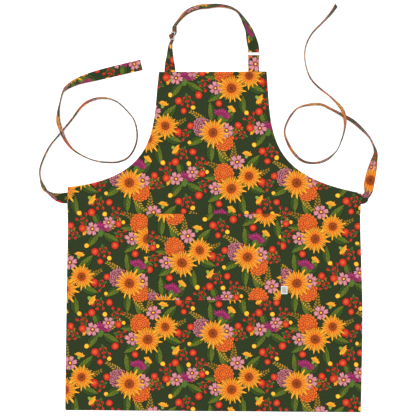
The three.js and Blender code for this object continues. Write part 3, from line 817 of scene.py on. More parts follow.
def weave_into(net, shader, place, pitch, depth):
    """Lays the shared weave into a material's bump. Returns its painted shade, which darkens the colour
    between the yarns and lightens it on their tops.
    """
    weave = net.node("ShaderNodeGroup", {"Place": place, "Pitch": pitch}, node_tree=weave_group()).outputs
    height = Value(net, weave["Height"])
    net.fill(shader, {"Normal": net.bump(height, 0.35, depth), "Roughness": height.ramp(0.1, 0.9, 0.95, 0.8)})
    return weave["Shade"]


def printed_cotton(settings, faded=False):
    """Printed cotton, or its paler wrong side."""
    name = "cotton_wrong_side" if faded else "cotton_right_side"
    if name in bpy.data.materials:
        return bpy.data.materials[name]
    made, net, shader = new_material(name)
    place = cloth_place(net)
    pattern = net.node("ShaderNodeGroup", {"Place": place}, node_tree=print_group(settings.inks))
    colour = pattern.outputs["Colour"]
    if faded:
        colour = net.mix(0.5, colour, settings.inks.wrong_side)
    shade = weave_into(net, shader, place, settings.cloth.weave_pitch, 0.2 * MM)
    # The weave's painted shade darkens the print between the yarns and lightens it on their tops
    net.fill(shader, {
        "Base Color": net.shade(colour, shade),
        "Sheen Weight": 0.03,
        "Sheen Roughness": 0.5,
        "Specular IOR Level": 0.15,
    })
    return made


def sewing_thread(settings):
    """Matt twisted thread."""
    name = "sewing_thread"
    if name in bpy.data.materials:
        return bpy.data.materials[name]
    made, net, shader = new_material(name)
    fibre = net.noise(object_place(net), 2500.0)
    light = settings.inks.thread
    net.fill(shader, {
        "Base Color": net.mix(fibre, [0.75 * tone for tone in light], light),
        "Roughness": fibre.ramp(0.2, 0.8, 0.9, 0.65),
        "Normal": net.bump(fibre, 0.4, 0.1 * MM),
    })
    return made


def label_cloth(settings, centre, half):
    """Woven tag with a plain grey field in a white border, given the tag's middle and half its sides."""
    made, net, shader = new_material("woven_label")
    place = cloth_place(net)
    shade = weave_into(net, shader, place, 0.4 * MM, 0.1 * MM)
    x, y = net.xy(net.vector("SUBTRACT", place, (*centre, 0)))
    edge = net.math("MINIMUM", half[0] - abs(x), half[1] - abs(y))
    field = edge.ramp(LABEL_BORDER, LABEL_BORDER + 0.5 * MM)
    tone = net.mix(field, settings.inks.label, settings.inks.label_field)
    # The weave's painted shade darkens the tag between its yarns and lightens it on their tops
    net.fill(shader, {"Base Color": net.shade(tone, shade), "Sheen Weight": 0.1})
    return made


def plated_metal(settings):
    """Nickel plate with fine scuffs."""
    made, net, shader = new_material("plated_nickel")
    scuff = net.noise(net.vector("MULTIPLY", object_place(net), (1, 1, 0.2)), 1400.0, 4.0)
    net.fill(shader, {
        "Base Color": net.shade(settings.inks.metal, scuff.ramp(0.3, 0.7, 0.9, 1.0)),
        "Roughness": scuff.ramp(0.3, 0.75, 0.18, 0.36),
        "Normal": net.bump(scuff, 0.15, 0.05 * MM),
        "Metallic": 1,
    })
    return made


def studio_floor(stage):
    """Pale painted floor with the faintest mottle."""
    made, net, shader = new_material("pale_floor")
    mottle = net.noise(object_place(net), 3.0)
    net.fill(shader, {
        "Base Color": net.shade(stage.floor, mottle.ramp(0.3, 0.7, 0.995, 1.0)),
        "Roughness": 0.9,
        "Specular IOR Level": 0.1,
    })
    return made


# Curves and meshes

def catmull(rows, steps):
    """A smooth line through rows of values, with a number of steps between each two."""
    rows = np.asarray(rows, float)
    ends = np.vstack([rows[:1], rows, rows[-1:]])
    t = np.linspace(0, 1, steps, endpoint=False)[:, None]
    runs = []
    for a, b, c, d in zip(ends[:-3], ends[1:-2], ends[2:-1], ends[3:]):
        leave, arrive = (c - a) / 2, (d - b) / 2
        cubic = 2 * b - 2 * c + leave + arrive
        square = -3 * b + 3 * c - 2 * leave - arrive
        runs.append(cubic * t**3 + square * t**2 + leave * t + b)
    return np.vstack([*runs, rows[-1:]])


def bezier(points, steps):
    a, b, c, d = (np.asarray(p, float) for p in points)
    t = np.linspace(0, 1, steps + 1)[:, None]
    return a * (1 - t) ** 3 + 3 * b * (1 - t) ** 2 * t + 3 * c * (1 - t) * t**2 + d * t**3


def unit(vectors):
    return vectors / np.linalg.norm(vectors, axis=-1, keepdims=True)


def run_along(line):
    """The distance of each point of a line from its start."""
    return np.concatenate([[0], np.cumsum(np.linalg.norm(np.diff(line, axis=0), axis=1))])


def even(line, step):
    """A line with its points an even distance apart, close to step, and with what rides on each point."""
    run = run_along(line[:, :3])
    marks = np.linspace(0, run[-1], max(2, round(run[-1] / step) + 1))
    return np.stack([np.interp(marks, run, column) for column in line.T], 1)


def ease(value, low, high):
    t = np.clip((value - low) / (high - low), 0, 1)
    return t * t * (3 - 2 * t)


def new_object(name, data, at=(0, 0, 0)):
    """An object in the scene."""
    made = bpy.data.objects.new(name, data)
    made.location = at
    bpy.context.scene.collection.objects.link(made)
    return made


def new_piece(name, points, faces, materials, cloth=None, wears=None):
    """A mesh that rides on the apron. cloth has each point's place on its cut, wears each face's material."""
    mesh = bpy.data.meshes.new(name)
    mesh.from_pydata([tuple(p) for p in points], [], [tuple(int(i) for i in f) for f in faces])
    for material in materials:
        mesh.materials.append(material)
    if wears is not None:
        mesh.polygons.foreach_set("material_index", np.asarray(wears, np.int32))
    if cloth is not None:
        corner = np.zeros(len(mesh.loops), np.int32)
        mesh.loops.foreach_get("vertex_index", corner)
        layer = mesh.uv_layers.new(name=CLOTH_MAP)
        layer.uv.foreach_set("vector", np.asarray(cloth, np.float32)[corner].ravel())
    mesh.polygons.foreach_set("use_smooth", np.ones(len(mesh.polygons), bool))
    mesh.validate()
    piece = new_object(name, mesh)
    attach(piece, BODY)
    return piece


def grid_faces(rows, columns, close=False):
    """Four-cornered faces of a grid of points, closed across its columns or open."""
    j, i = np.meshgrid(np.arange(rows - 1), np.arange(columns if close else columns - 1), indexing="ij")
    here, right = j * columns + i, j * columns + (i + 1) % columns
    return np.stack([here, right, right + columns, here + columns], -1).reshape(-1, 4)


def sheet_piece(name, plan, heights, upper, rim, materials, cut=(0, 0), turned=0):
    """A closed sheet: its plan, the heights of both faces, the faces over the plan and the points of its rim.

    Its under side wears the last material, apart from the first faces, as many as are turned.
    """
    size = len(plan)
    after = np.roll(rim, -1)
    sides = np.stack([rim + size, after + size, after, rim], 1)
    faces = [*upper, *sides, *(face[::-1] + size for face in upper)]
    wears = np.zeros(len(faces), int)
    wears[len(upper) + len(sides) + turned:] = len(materials) - 1
    points = np.vstack([np.column_stack([plan, height]) for height in heights])
    return new_piece(name, points, faces, materials, np.vstack([plan + cut] * 2), wears)


def grid_rim(rows, columns):
    """The points round a grid of points."""
    index = np.arange(rows * columns).reshape(rows, columns)
    return np.concatenate([index[0, :-1], index[:-1, -1], index[-1, :0:-1], index[:0:-1, 0]])


def end_caps(rows, columns):
    """The faces that close both ends of a tube of rounds of points."""
    return list(range(columns)), [rows * columns - 1 - k for k in range(columns)]


def stitches(name, lines, ways, settings):
    """Short thread stitches in one piece, one at each point of some lines, lying the way given there."""
    thick, pitch = settings.cloth.stitch_thick, settings.cloth.stitch_pitch
    at, along = np.vstack(lines), unit(np.vstack(ways))
    side = unit(np.cross(along, np.where(np.abs(along[:, 2:]) > 0.9, (1.0, 0, 0), (0, 0, 1.0))))
    rise = np.cross(side, along)
    angles = np.radians([0, 60, 120, 180, 240, 300])
    rounds = ((-0.5, 0.35), (-0.3, 1.0), (0.3, 1.0), (0.5, 0.35))
    points = []
    for run, girth in rounds:
        for angle in angles:
            offset = side * math.cos(angle) + rise * math.sin(angle)
            points.append(at + along * run * STITCH_SHARE * pitch + offset * girth * thick / 2)
    points = np.stack(points, 1)
    sides = len(angles)
    one = [*grid_faces(len(rounds), sides, close=True)[:, ::-1], *end_caps(len(rounds), sides)]
    faces = [np.asarray(f) + k * points.shape[1] for k in range(len(at)) for f in one]
    piece = new_piece(name, points.reshape(-1, 3), faces, [sewing_thread(settings)])
    return piece


def settings_of(context):
    return context.scene.apron


# Panel

def outline():
    """Stations round the panel's edge: place, way ahead and slide along the edge for each metre of inset."""
    edges = [
        np.array([HEM_LEFT, HEM_RIGHT]),
        catmull([HEM_RIGHT, *SIDE_RIGHT_BOW[::-1], WAIST_RIGHT], 40),
        bezier([WAIST_RIGHT, *ARMHOLE_RIGHT_PULLS[::-1], BIB_RIGHT], 160),
        np.array([BIB_RIGHT, BIB_LEFT]),
        bezier([BIB_LEFT, *ARMHOLE_LEFT_PULLS, WAIST_LEFT], 160),
        catmull([WAIST_LEFT, *SIDE_LEFT_BOW, HEM_LEFT], 40),
    ]
    edges = [even(edge, EDGE_STEP) for edge in edges]
    ways = [unit(np.gradient(edge, axis=0)) for edge in edges]
    places, aheads, slides = [], [], []
    for e, (edge, way) in enumerate(zip(edges, ways)):
        run = run_along(edge)
        turn_in = math.acos(np.clip(ways[e - 1][-1] @ way[0], -1, 1))
        turn_out = math.acos(np.clip(way[-1] @ ways[(e + 1) % len(edges)][0], -1, 1))
        fade_in = np.clip(1 - run / CORNER_FADE, 0, None) ** 2
        fade_out = np.clip(1 - (run[-1] - run) / CORNER_FADE, 0, None) ** 2
        slide = math.tan(turn_in / 2) * fade_in - math.tan(turn_out / 2) * fade_out
        places.append(edge[:-1])
        aheads.append(way[:-1])
        slides.append(slide[:-1])
    return np.vstack(places), np.vstack(aheads), np.concatenate(slides)


def inset_ring(stations, inset):
    place, ahead, slide = stations
    inward = np.stack([-ahead[:, 1], ahead[:, 0]], 1)
    return place + inset * (slide[:, None] * ahead + inward)


def sewn_ends():
    """Boxes of the tape ends sewn in behind the panel, and how many plies lie in each."""
    half = TAPE_WIDTH / 2
    neck, tie_left, tie_right = NECK_LOWER[1], TIE_LEFT[1], TIE_RIGHT[1]
    return (
        # x0, x1, y0, y1, plies
        (neck[0] - half, neck[0] + half, BIB_LEFT[1] - SEWN_DEPTH, BIB_RIGHT[1], 1),
        (RING_AT[0] - half, RING_AT[0] + half, BIB_RIGHT[1] - SEWN_DEPTH, BIB_RIGHT[1], 2),
        (tie_left[0], tie_left[0] + SEWN_DEPTH, tie_left[1] - half, tie_left[1] + half, 1),
        (tie_right[0] - SEWN_DEPTH, tie_right[0], tie_right[1] - half, tie_right[1] + half, 1),
    )


def lie(place, settings):
    """Height of the panel's under face: it rides over the sewn tapes and lies in soft waves."""
    x, y = place[:, 0], place[:, 1]
    height = np.zeros(len(place))
    for x0, x1, y0, y1, plies in sewn_ends():
        away = np.hypot(np.maximum(0, np.maximum(x0 - x, x - x1)), np.maximum(0, np.maximum(y0 - y, y - y1)))
        ride = plies * PLY_PITCH + GAP / 2
        height = np.maximum(height, ride * (1 - ease(away, RIDE_REACH, RIDE_REACH + RIDE_FALL)))
    # x and y are divided by the lengths of the waves
    low = ease(y, -0.16, HEM_RIGHT[1])
    wave = np.sin(x / 0.031 + 1.3 * np.sin(y / 0.11)) * 0.5 + np.sin(x / 0.053 - y / 0.2 + 0.8) * 0.5
    bib = 0.3 * np.sin(x / 0.045 + y / 0.07) * ease(y, 0.02, 0.2)
    side = ease(np.abs(x), 0.24, 0.35) * 0.5 * np.sin(y / 0.038 + np.sign(x))
    waves = settings.cloth.ripple * (low * (0.5 + 0.5 * wave) + np.abs(bib) + np.maximum(side, 0) * (y < 0.0))
    return height + waves


class APRON_OT_panel(bpy.types.Operator):
    """Makes the bib and skirt with their turned hems and stitching"""

    bl_idname = "apron.panel"
    bl_label = "Apron Panel"

    def execute(self, context):
        settings = settings_of(context)
        stations = outline()
        count = len(stations[0])
        rings = [inset_ring(stations, inset * MM) for inset, _, _ in HEM_PROFILE]
        middle, middle_faces = self.middle(rings[-1])
        plan = np.vstack([*rings, middle])
        over, under = self.rise(len(plan), count, settings)
        base = lie(plan, settings)
        strips = grid_faces(len(rings), count, close=True)
        upper = [*strips, *(middle_faces + (len(rings) - 1) * count)]
        turned = sum(inset <= HEM_TURN for inset, _, _ in HEM_PROFILE[1:]) * count
        materials = [printed_cotton(settings), printed_cotton(settings, faded=True)]
        heights = (base + over, base + under)
        piece = sheet_piece(
            "apron_cloth", plan, heights, upper, np.arange(count), materials, turned=turned
        )
        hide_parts("apron_panel")
        thread = self.hem_stitches(stations, settings)
        return {"FINISHED"}

    def middle(self, ring):
        """Points inside a ring of points, and the faces that join them to it, with the ring counted first."""
        low, high = ring.min(0), ring.max(0)
        xs = np.arange(low[0] + GRID_STEP, high[0], GRID_STEP)
        ys = np.arange(low[1] + GRID_STEP, high[1], GRID_STEP * GRID_ROW_SHARE)
        grid = np.array([(x + (k % 2) * GRID_STEP / 2, y) for k, y in enumerate(ys) for x in xs])
        clear = grid[nearest(grid, ring) > GRID_STEP * GRID_CLEAR_SHARE]
        count = len(ring)
        ring_edges = [(i, (i + 1) % count) for i in range(count)]
        seeds = [tuple(p) for p in np.vstack([ring, clear])]
        found = delaunay_2d_cdt(seeds, ring_edges, [list(range(count))], 1, 1e-7)
        points = np.array([tuple(v) for v in found[0]])
        if len(points) < count or np.abs(points[:count] - ring).max() > 1e-5:
            raise RuntimeError("the middle of the panel doesn't join its hem")
        return points[count:], np.array(found[2])

    def rise(self, size, count, settings):
        """Heights of the upper and the under face above the panel's lie, with puckers along the hem."""
        run = np.arange(count) * EDGE_STEP
        waves = [np.sin(run / pitch + phase) * share for pitch, phase, share in PUCKERS]
        pucker = settings.cloth.pucker * sum(waves)
        seam = HEM_STITCH_INSET / MM
        over, under = np.full(size, CLOTH), np.zeros(size)
        for k, (inset, top, bottom) in enumerate(HEM_PROFILE):
            ring = slice(k * count, (k + 1) * count)
            drawn = math.exp(-((inset - seam) / 3.5) ** 2) + 0.5 * math.exp(-(inset / 4.0) ** 2)
            over[ring] = top * MM + pucker * drawn
            under[ring] = bottom * MM
        return over, under

    def hem_stitches(self, stations, settings):
        """The row of stitches round the hem, and a box of them over each sewn tape end."""
        pitch = settings.cloth.stitch_pitch
        ring = inset_ring(stations, HEM_STITCH_INSET)
        hem = even(np.vstack([ring, ring[:1]]), pitch)[:-1]
        lines = [np.column_stack([hem, lie(hem, settings) + HEM_STITCH_HEIGHT])]
        profile = np.array(HEM_PROFILE) * MM
        for x0, x1, y0, y1, _ in sewn_ends():
            box = np.array([(x0, y0), (x1, y0), (x1, y1), (x0, y1)])
            box = box.mean(0) + (box - box.mean(0)) * (1 - 2 * BOX_STITCH_INSET / np.ptp(box, axis=0))
            for k in range(4):
                row = even(np.array([box[k], box[(k + 1) % 4]]), pitch)
                over = np.interp(nearest(row, stations[0]), profile[:, 0], profile[:, 1])
                lines.append(np.column_stack([row, lie(row, settings) + over]))
        return stitches("hem_stitches", lines, [np.gradient(line, axis=0) for line in lines], settings)


def nearest(points, line):
    """Distance of each point to the nearest point of a line."""
    gaps = np.full(len(points), np.inf)
    for part in np.array_split(np.arange(len(points)), max(1, len(points) // 500)):
        gaps[part] = np.sqrt(((points[part, None] - line[None]) ** 2).sum(-1)).min(1)
    return gaps


# Pocket and label

def near_edges(length_mm, insets, step):
    """Marks along a side: close together near both ends, then evenly spaced."""
    last = insets[-1]
    middle = np.linspace(last, length_mm - last, round((length_mm - 2 * last) / step) + 1)[1:-1]
    return np.array([*insets, *middle, *(length_mm - i for i in insets[::-1])])


class APRON_OT_pocket(bpy.types.Operator):
    """Makes the patch pocket with its hemmed mouth and topstitching"""

    bl_idname = "apron.pocket"
    bl_label = "Patch Pocket"

    def shape(self, x, y, settings):
        """Heights of the upper and the under face at a place, in metres from the lower left corner."""
        (x0, y0, _), (x1, y1, _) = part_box("pocket")
        wide, tall = x1 - x0, y1 - y0
        u, run = 2 * x / wide - 1, y / tall
        floor = lie(np.column_stack([x + x0, y + y0]), settings) + CLOTH + 0.5 * GAP
        belly = settings.cloth.pocket_open * (1 - u**4) * (1 - (1 - run) ** 3)
        slack = POCKET_SLACK * np.sin(u * 7.0 + 0.6) * ease(run, 0.45, 1.0) * (1 - u**2)
        seam = np.minimum(np.minimum(x, wide - x), y) / MM
        mouth = (tall - y) / MM
        hem = settings.cloth.pocket_hem / MM
        thick = POCKET_THICK + SEAM_PLY * (1 - ease(seam, *SEAM_FOLD))
        thick = np.maximum(thick, POCKET_THICK + MOUTH_PLY * (1 - ease(mouth, hem, hem + MOUTH_FOLD)))
        hem_row = hem - POCKET_HEM_ROW
        grooves = np.exp(-((seam - POCKET_SEAM) / 0.45) ** 2) + np.exp(-((mouth - hem_row) / 0.6) ** 2)
        thick -= GROOVE_DEPTH * grooves
        rounding = POCKET_ROUNDING * np.exp(-np.minimum(seam, mouth) / 0.4)
        base = floor + belly + slack
        return base + np.maximum(thick - rounding, rounding + 0.1) * MM, base + rounding * MM

    def execute(self, context):
        settings = settings_of(context)
        (x0, y0, _), (x1, y1, _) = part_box("pocket")
        wide, tall = x1 - x0, y1 - y0
        hem = settings.cloth.pocket_hem / MM
        xs = near_edges(wide / MM, POCKET_MARKS, POCKET_STEP) * MM
        lower = [m for m in near_edges(tall / MM, POCKET_MARKS, POCKET_STEP) if m < tall / MM - hem - 3]
        mouth = [*(hem + m for m in MOUTH_HEM_MARKS), *MOUTH_MARKS]
        ys = np.array([*lower, *(tall / MM - m for m in mouth)]) * MM
        gx, gy = np.meshgrid(xs, ys)
        heights = self.shape(gx.ravel(), gy.ravel(), settings)
        plan = np.column_stack([gx.ravel() + x0, gy.ravel() + y0])
        upper, rim = grid_faces(*gx.shape), grid_rim(*gx.shape)
        materials = [printed_cotton(settings), printed_cotton(settings, faded=True)]
        piece = sheet_piece("pocket_cloth", plan, heights, upper, rim, materials, POCKET_CUT)
        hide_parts("pocket")
        thread = self.topstitches(wide, tall, (x0, y0), settings)
        return {"FINISHED"}

    def topstitches(self, wide, tall, corner, settings):
        """Rows of stitches along the seams and the mouth's hem, and a tack at each top corner."""
        low, tack = POCKET_SEAM * MM, POCKET_TACK * MM
        hem_row = tall - settings.cloth.pocket_hem + POCKET_HEM_ROW * MM
        right, top = wide - low, tall - low
        rows = (
            ((low, top), (low, low)),
            ((low, low), (right, low)),
            ((right, low), (right, top)),
            ((low, hem_row), (right, hem_row)),
            ((low, top), (tack, top)),
            ((wide - tack, top), (right, top)),
        )
        lines = []
        for row in rows:
            line = even(np.array(row), settings.cloth.stitch_pitch)
            height, _ = self.shape(line[:, 0], line[:, 1], settings)
            lines.append(np.column_stack([line + corner, height + POCKET_STITCH_RISE]))
        return stitches("pocket_stitches", lines, [np.gradient(line, axis=0) for line in lines], settings)


class APRON_OT_label(bpy.types.Operator):
    """Makes the small blank tag beside the pocket"""

    bl_idname = "apron.label"
    bl_label = "Side Label"

    def execute(self, context):
        settings = settings_of(context)
        (x0, y0, _), (x1, y1, _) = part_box("side_label")
        wide, tall = x1 - x0, y1 - y0
        xs, ys = (near_edges(side / MM, LABEL_MARKS, LABEL_MARKS[-1]) * MM for side in (wide, tall))
        gx, gy = np.meshgrid(xs, ys)
        x, y = gx.ravel(), gy.ravel()
        plan = np.column_stack([x + x0, y + y0])
        floor = lie(plan, settings) + CLOTH + 0.5 * GAP
        curl = LABEL_CURL * (x / wide) ** 2 + LABEL_WAVE * np.sin(y / LABEL_WAVE_LENGTH) * x / wide
        edge = np.minimum(np.minimum(x, wide - x), np.minimum(y, tall - y)) / MM
        rounding = LABEL_ROUNDING * np.exp(-edge / 0.25)
        heights = (floor + curl + (LABEL_THICK - rounding) * MM, floor + curl + rounding * MM)
        upper, rim = grid_faces(*gx.shape), grid_rim(*gx.shape)
        material = label_cloth(settings, ((x0 + x1) / 2, (y0 + y1) / 2), (wide / 2, tall / 2))
        piece = sheet_piece("label_tag", plan, heights, upper, rim, [material])
        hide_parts("side_label")
        return {"FINISHED"}


# Tapes

def route_frames(rows, inner):
    """Along a tape that rests on the floor: its middle line, ways of its width and face, half and slip."""
    rows = np.array([(*row, 0, 0)[:6] for row in rows], float)
    x, y, lean, lift, half, slip = catmull(rows, ROUTE_STEPS).T
    ahead = unit(np.gradient(np.column_stack([x, y]), axis=0))
    lean = np.radians(np.maximum(lean, 0))
    cos, sin = np.cos(lean), np.sin(lean)
    side = np.column_stack([ahead[:, 1] * inner, -ahead[:, 0] * inner])
    across = np.column_stack([side * cos[:, None], sin])
    face = np.column_stack([-side * sin[:, None], cos])
    height = SURFACE_GAP + TAPE_WIDTH / 2 * sin + (TAPE_THICK / 2 + half) * cos + np.maximum(lift, 0)
    return np.column_stack([x, y, height]), across, face, half[:, None], slip[:, None]


def tape_frames(at, across, step):
    """Even places along a tape, with its way along, across and out of its face."""
    both = even(np.hstack([at, across]), step)
    at, across = both[:, :3], both[:, 3:]
    along = unit(np.gradient(at, axis=0))
    across = unit(across - along * (across * along).sum(1, keepdims=True))
    return at, along, across, np.cross(across, along)


def tape_piece(name, at, across, settings, cut):
    """A folded cloth tape along a line, with its two rows of edge stitches on both faces."""
    half = np.array(TAPE_PROFILE) * MM
    mirrored = half[-2::-1] * (-1, 1)
    upper = np.vstack([half, mirrored])
    section = np.vstack([upper, upper[-2:0:-1] * (1, -1)])
    at_even, along, wide, face = tape_frames(at, across, TAPE_STEP)
    rows, columns = len(at_even), len(section)
    points = at_even[:, None] + wide[:, None] * section[None, :, :1] + face[:, None] * section[None, :, 1:]
    faces = [*grid_faces(rows, columns, close=True)[:, ::-1], *end_caps(rows, columns)]
    run = run_along(at_even)
    cloth = np.empty((rows, columns, 2))
    cloth[..., 0] = cut[0] + run[:, None]
    cloth[..., 1] = cut[1] + section[None, :, 0] + np.where(section[:, 1] < 0, BACK_CUT, 0)[None]
    piece = new_piece(name, points.reshape(-1, 3), faces, [printed_cotton(settings)], cloth.reshape(-1, 2))
    at_stitch, along, wide, face = tape_frames(at, across, settings.cloth.stitch_pitch)
    rows = [
        at_stitch + wide * side * TAPE_STITCH[0] + face * out * TAPE_STITCH[1]
        for side in (1, -1) for out in (1, -1)
    ]
    thread = stitches(f"{name}_stitches", rows, [along] * len(rows), settings)
    return piece, thread, run[-1]


class APRON_OT_waist_ties(bpy.types.Operator):
    """Makes the free waist ties along their routes"""

    bl_idname = "apron.waist_ties"
    bl_label = "Waist Ties"

    def execute(self, context):
        settings = settings_of(context)
        for name, node, route, inner, cut in TIES:
            at, across, *_ = route_frames(route, inner)
            piece, thread, tie_length = tape_piece(name, at, across, settings, cut)
            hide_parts(node)
        return {"FINISHED"}


def turn_frames(middle, ahead, face, across, radius, angles):
    """A tape's turn round a bar."""
    angles = np.radians(angles)[:, None]
    at = middle + radius * (np.sin(angles) * ahead + np.cos(angles) * face)
    return at, np.repeat(across[None], len(at), 0)


def neck_route():
    """The neck strap's route below, in and above the slider, and the slider's own axes."""
    turn = math.radians(SLIDER_TURN)
    ahead = np.array([math.sin(turn), math.cos(turn), 0])
    lean = math.radians(SLIDER_LEAN)
    lift = (SLIDER_RAIL + 2 * GAP) * math.sin(lean) + LOOP_RADIUS * math.cos(lean)
    marks = [SLIDER_AT + k * SLIDER_STEP * ahead[:2] for k in (-2, -1, 0, 1, 2)]
    middle_rows = [(*mark, SLIDER_LEAN, lift, 0) for mark in marks]
    frames = route_frames([*NECK_LOWER, *middle_rows, *NECK_UPPER], 1)
    start = len(NECK_LOWER) * ROUTE_STEPS
    lower = [part[:start] for part in frames]
    upper = [part[start + 4 * ROUTE_STEPS + 1:] for part in frames]
    middle = [part[start + 2 * ROUTE_STEPS] for part in frames]
    return lower, upper, {"at": middle[0], "across": middle[1], "face": middle[2], "ahead": ahead}


class APRON_OT_neck_strap(bpy.types.Operator):
    """Makes the neck strap through its slider and round its ring, and the ring's tab"""

    bl_idname = "apron.neck_strap"
    bl_label = "Neck Strap"

    def threaded(self, rows, slider):
        """The tape's way through the slider."""
        line = catmull(rows, 6)
        at = slider["at"] + line[:, :1] * slider["ahead"] + line[:, 1:] * slider["face"]
        return at, np.repeat(slider["across"][None], len(at), 0)

    def execute(self, context):
        settings = settings_of(context)
        lower, upper, slider = neck_route()
        middle, across, face, half, slip = upper
        front = (middle + face * half, across)
        back = (middle - face * half + across * slip, across)
        up, toward_bib, right = np.array([0, 0, 1.0]), np.array([0, -1.0, 0]), np.array([1.0, 0, 0])
        ring_bar = np.array([*RING_AT, RING_HEIGHT])
        ring_turn = turn_frames(ring_bar, toward_bib, up, -right, RING_TURN, HALF_TURN)
        loop_angles = np.linspace(0, LOOP_WRAP, 25)
        loop = turn_frames(
            slider["at"], -slider["ahead"], -slider["face"], slider["across"], LOOP_RADIUS, loop_angles
        )
        thread_back = self.threaded(THREAD_BACK, slider)
        parts = [
            lower[:2],
            self.threaded(THREAD_FRONT, slider),
            [part[:-1] for part in front],
            ring_turn,
            [part[-2::-1] for part in back],
            [part[:-1] for part in thread_back],
            loop,
        ]
        at, across = np.vstack([p[0] for p in parts]), np.vstack([p[1] for p in parts])
        piece, thread, strap_length = tape_piece("neck_tape", at, across, settings, NECK_CUT)
        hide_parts("neck_strap")
        self.ring_tab(settings, up, toward_bib, right)
        return {"FINISHED"}

    def ring_tab(self, settings, up, toward_bib, right):
        """The short tape folded round the ring, with both ends sewn in behind the bib."""
        low = TAPE_THICK / 2 + SURFACE_GAP
        foot = BIB_RIGHT[1] - SEWN_DEPTH
        bar = np.array([RING_AT[0], RING_AT[1] - RING_PITCH, RING_HEIGHT])
        turn, _ = turn_frames(bar, -toward_bib, -up, right, RING_TURN, HALF_TURN)
        rise = [(RING_AT[0], y, low + plies * PLY_PITCH) for y, plies in (*TAB_RISE, (foot, 1.0))]
        at = np.vstack([[(RING_AT[0], y, low) for y in (foot, BIB_RIGHT[1], TAB_LEAVE)], turn, rise])
        across = np.repeat(right[None], len(at), 0)
        piece, thread, tab_length = tape_piece("ring_tab_tape", at, across, settings, TAB_CUT)
        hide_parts("ring_tab")


# Fittings

class APRON_OT_fittings(bpy.types.Operator):
    """Makes the metal slider and ring"""

    bl_idname = "apron.fittings"
    bl_label = "Slider and Ring"

    def execute(self, context):
        material = plated_metal(settings_of(context))
        self.slider(material)
        self.ring(material)
        return {"FINISHED"}

    def slider(self, material):
        """Three bars between two rails, with rounded edges."""
        _, _, axes = neck_route()
        slot = TAPE_WIDTH / 2 + 2 * GAP
        xs = (-slot - SLIDER_RAIL, -slot, slot, slot + SLIDER_RAIL)
        bar = SLIDER_BAR / 2
        ys = (-SLIDER_PITCH - bar, -SLIDER_PITCH + bar, -bar, bar, SLIDER_PITCH - bar, SLIDER_PITCH + bar)
        shape = bmesh.new()
        grid = [[shape.verts.new((x, y, -bar)) for x in xs] for y in ys]
        for j in range(len(ys) - 1):
            for i in range(len(xs) - 1):
                if i == 1 and j in (1, 3):
                    continue
                shape.faces.new((grid[j][i], grid[j][i + 1], grid[j + 1][i + 1], grid[j + 1][i]))
        flat_faces = shape.faces[:]
        raised = bmesh.ops.extrude_face_region(shape, geom=flat_faces)["geom"]
        moved = [v for v in raised if isinstance(v, bmesh.types.BMVert)]
        bmesh.ops.translate(shape, verts=moved, vec=(0, 0, SLIDER_BAR))
        bmesh.ops.recalc_face_normals(shape, faces=shape.faces[:])
        sharp = [e for e in shape.edges if e.calc_face_angle(0) > 1]
        bmesh.ops.bevel(shape, geom=sharp, offset=SLIDER_BEVEL, segments=3, profile=0.6, affect="EDGES")
        shape.verts.index_update()
        basis = np.stack([axes["across"], axes["ahead"], np.cross(axes["across"], axes["ahead"])], 1)
        points = np.array([v.co for v in shape.verts]) @ basis.T + axes["at"]
        # The bevel gives its faces in no fixed order
        rounds = [[v.index for v in f.verts] for f in shape.faces]
        starts = [one.index(min(one)) for one in rounds]
        faces = sorted(one[k:] + one[:k] for one, k in zip(rounds, starts))
        shape.free()
        piece = new_piece("slider_metal", points, faces, [material])
        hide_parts("strap_slider")

    def ring(self, material):
        """Round wire bent to a rectangle."""
        half, tall = TAPE_WIDTH / 2 + 2 * GAP + RING_WIRE / 2, RING_PITCH / 2
        turns = np.radians(np.linspace(0, 90, 9))
        line = []
        for quarter, (sx, sy) in enumerate(((1, 1), (-1, 1), (-1, -1), (1, -1))):
            centre = np.array([sx * (half - RING_CORNER), sy * (tall - RING_CORNER)])
            arc = turns + quarter * math.pi / 2
            line.extend(centre + RING_CORNER * np.column_stack([np.cos(arc), np.sin(arc)]))
        line = np.array(line)
        ahead = unit(np.roll(line, -1, axis=0) - np.roll(line, 1, axis=0))
        out = np.column_stack([ahead[:, 1], -ahead[:, 0], np.zeros(len(line))])
        angles = np.linspace(0, 2 * math.pi, 16, endpoint=False)
        middle = np.column_stack([line, np.zeros(len(line))]) + (RING_AT[0], RING_AT[1] - tall, RING_HEIGHT)
        cos, sin = np.cos(angles)[None, :, None], np.sin(angles)[None, :, None]
        tube = out[:, None] * cos + np.array([0, 0, 1.0]) * sin
        points = (middle[:, None] + tube * RING_WIRE / 2).reshape(-1, 3)
        rows, columns = len(line), len(angles)
        open_faces = grid_faces(rows, columns, close=True)
        last = np.arange(columns) + (rows - 1) * columns
        seam = np.stack([last, np.roll(last, -1), np.roll(np.arange(columns), -1), np.arange(columns)], 1)
        piece = new_piece("ring_metal", points, np.vstack([open_faces, seam])[:, ::-1], [material])
        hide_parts("strap_ring")


# Stage

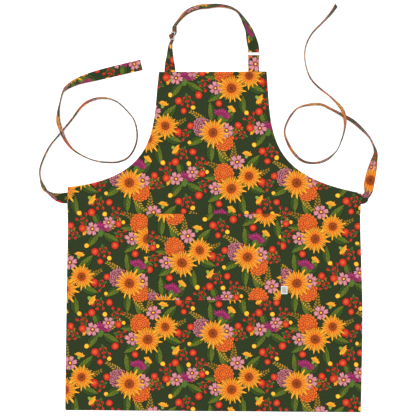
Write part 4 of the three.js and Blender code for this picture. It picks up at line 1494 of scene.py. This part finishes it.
class APRON_OT_stage(bpy.types.Operator):
    """Makes the floor, the soft light and the camera"""

    bl_idname = "apron.stage"
    bl_label = "Studio Stage"

    def execute(self, context):
        stage = settings_of(context).stage
        self.floor(stage)
        self.light(context)
        self.camera(context, stage)
        return {"FINISHED"}

    def floor(self, stage):
        mesh = bpy.data.meshes.new("floor")
        corners = [(x * FLOOR_REACH, y * FLOOR_REACH, 0) for x, y in ((-1, -1), (1, -1), (1, 1), (-1, 1))]
        mesh.from_pydata(corners, [], [(0, 1, 2, 3)])
        mesh.materials.append(studio_floor(stage))
        floor = new_object("floor", mesh)

    def light(self, context):
        world = bpy.data.worlds.new("studio")
        world.use_nodes = True
        background = world.node_tree.nodes["Background"].inputs
        background["Color"].default_value = (1, 1, 1, 1)
        background["Strength"].default_value = 0.5
        context.scene.world = world
        for name, at, size, power in LAMPS:
            lamp = bpy.data.lights.new(name, "AREA")
            lamp.size = size
            lamp.energy = power
            new_object(name, lamp, at).rotation_euler = aim(at)

    def camera(self, context, stage):
        lens = bpy.data.cameras.new("photo_camera")
        lens.sensor_width = 36
        lens.lens = lens.sensor_width * stage.camera_height / stage.view_width
        lens.clip_end = 50
        context.scene.camera = new_object("photo_camera", lens, (*stage.view_centre, stage.camera_height))
        context.scene.view_settings.view_transform = "Standard"


def aim(place):
    """The turn that points a lamp at the apron's middle."""
    x, y, z = place
    return (math.atan2(math.hypot(x, y), z), 0, math.atan2(y, x) + math.pi / 2)


# Sidebar, registration and run

class ApronSettings(bpy.types.PropertyGroup):
    """All the apron's settings."""

    inks: bpy.props.PointerProperty(type=ApronInks, name="Inks", description="Colours")
    cloth: bpy.props.PointerProperty(type=ApronCloth, name="Cloth", description="Sewing sizes")
    stage: bpy.props.PointerProperty(type=ApronStage, name="Stage", description="Floor, light and camera")


OPERATORS = (
    APRON_OT_stage, APRON_OT_waist_ties, APRON_OT_panel, APRON_OT_pocket,
    APRON_OT_label, APRON_OT_neck_strap, APRON_OT_fittings,
)


class APRON_PT_sidebar(bpy.types.Panel):
    """Lists the apron's pieces and settings"""

    bl_idname = "APRON_PT_sidebar"
    bl_label = "Bib Apron"
    bl_space_type = "VIEW_3D"
    bl_region_type = "UI"
    bl_category = "Apron"

    def draw(self, context):
        for operator in OPERATORS:
            self.layout.operator(operator.bl_idname)
        settings = settings_of(context)
        for group in (settings.cloth, settings.inks, settings.stage):
            box = self.layout.box()
            for name in group.__annotations__:
                box.prop(group, name)


CLASSES = (ApronInks, ApronCloth, ApronStage, ApronSettings, *OPERATORS, APRON_PT_sidebar)


def register():
    for made in CLASSES:
        bpy.utils.register_class(made)
    bpy.types.Scene.apron = bpy.props.PointerProperty(type=ApronSettings)


def unregister():
    del bpy.types.Scene.apron
    for made in reversed(CLASSES):
        bpy.utils.unregister_class(made)


def main():
    register()
    for operator in OPERATORS:
        group, name = operator.bl_idname.split(".")
        getattr(getattr(bpy.ops, group), name)()


if __name__ == "__main__":
    main()
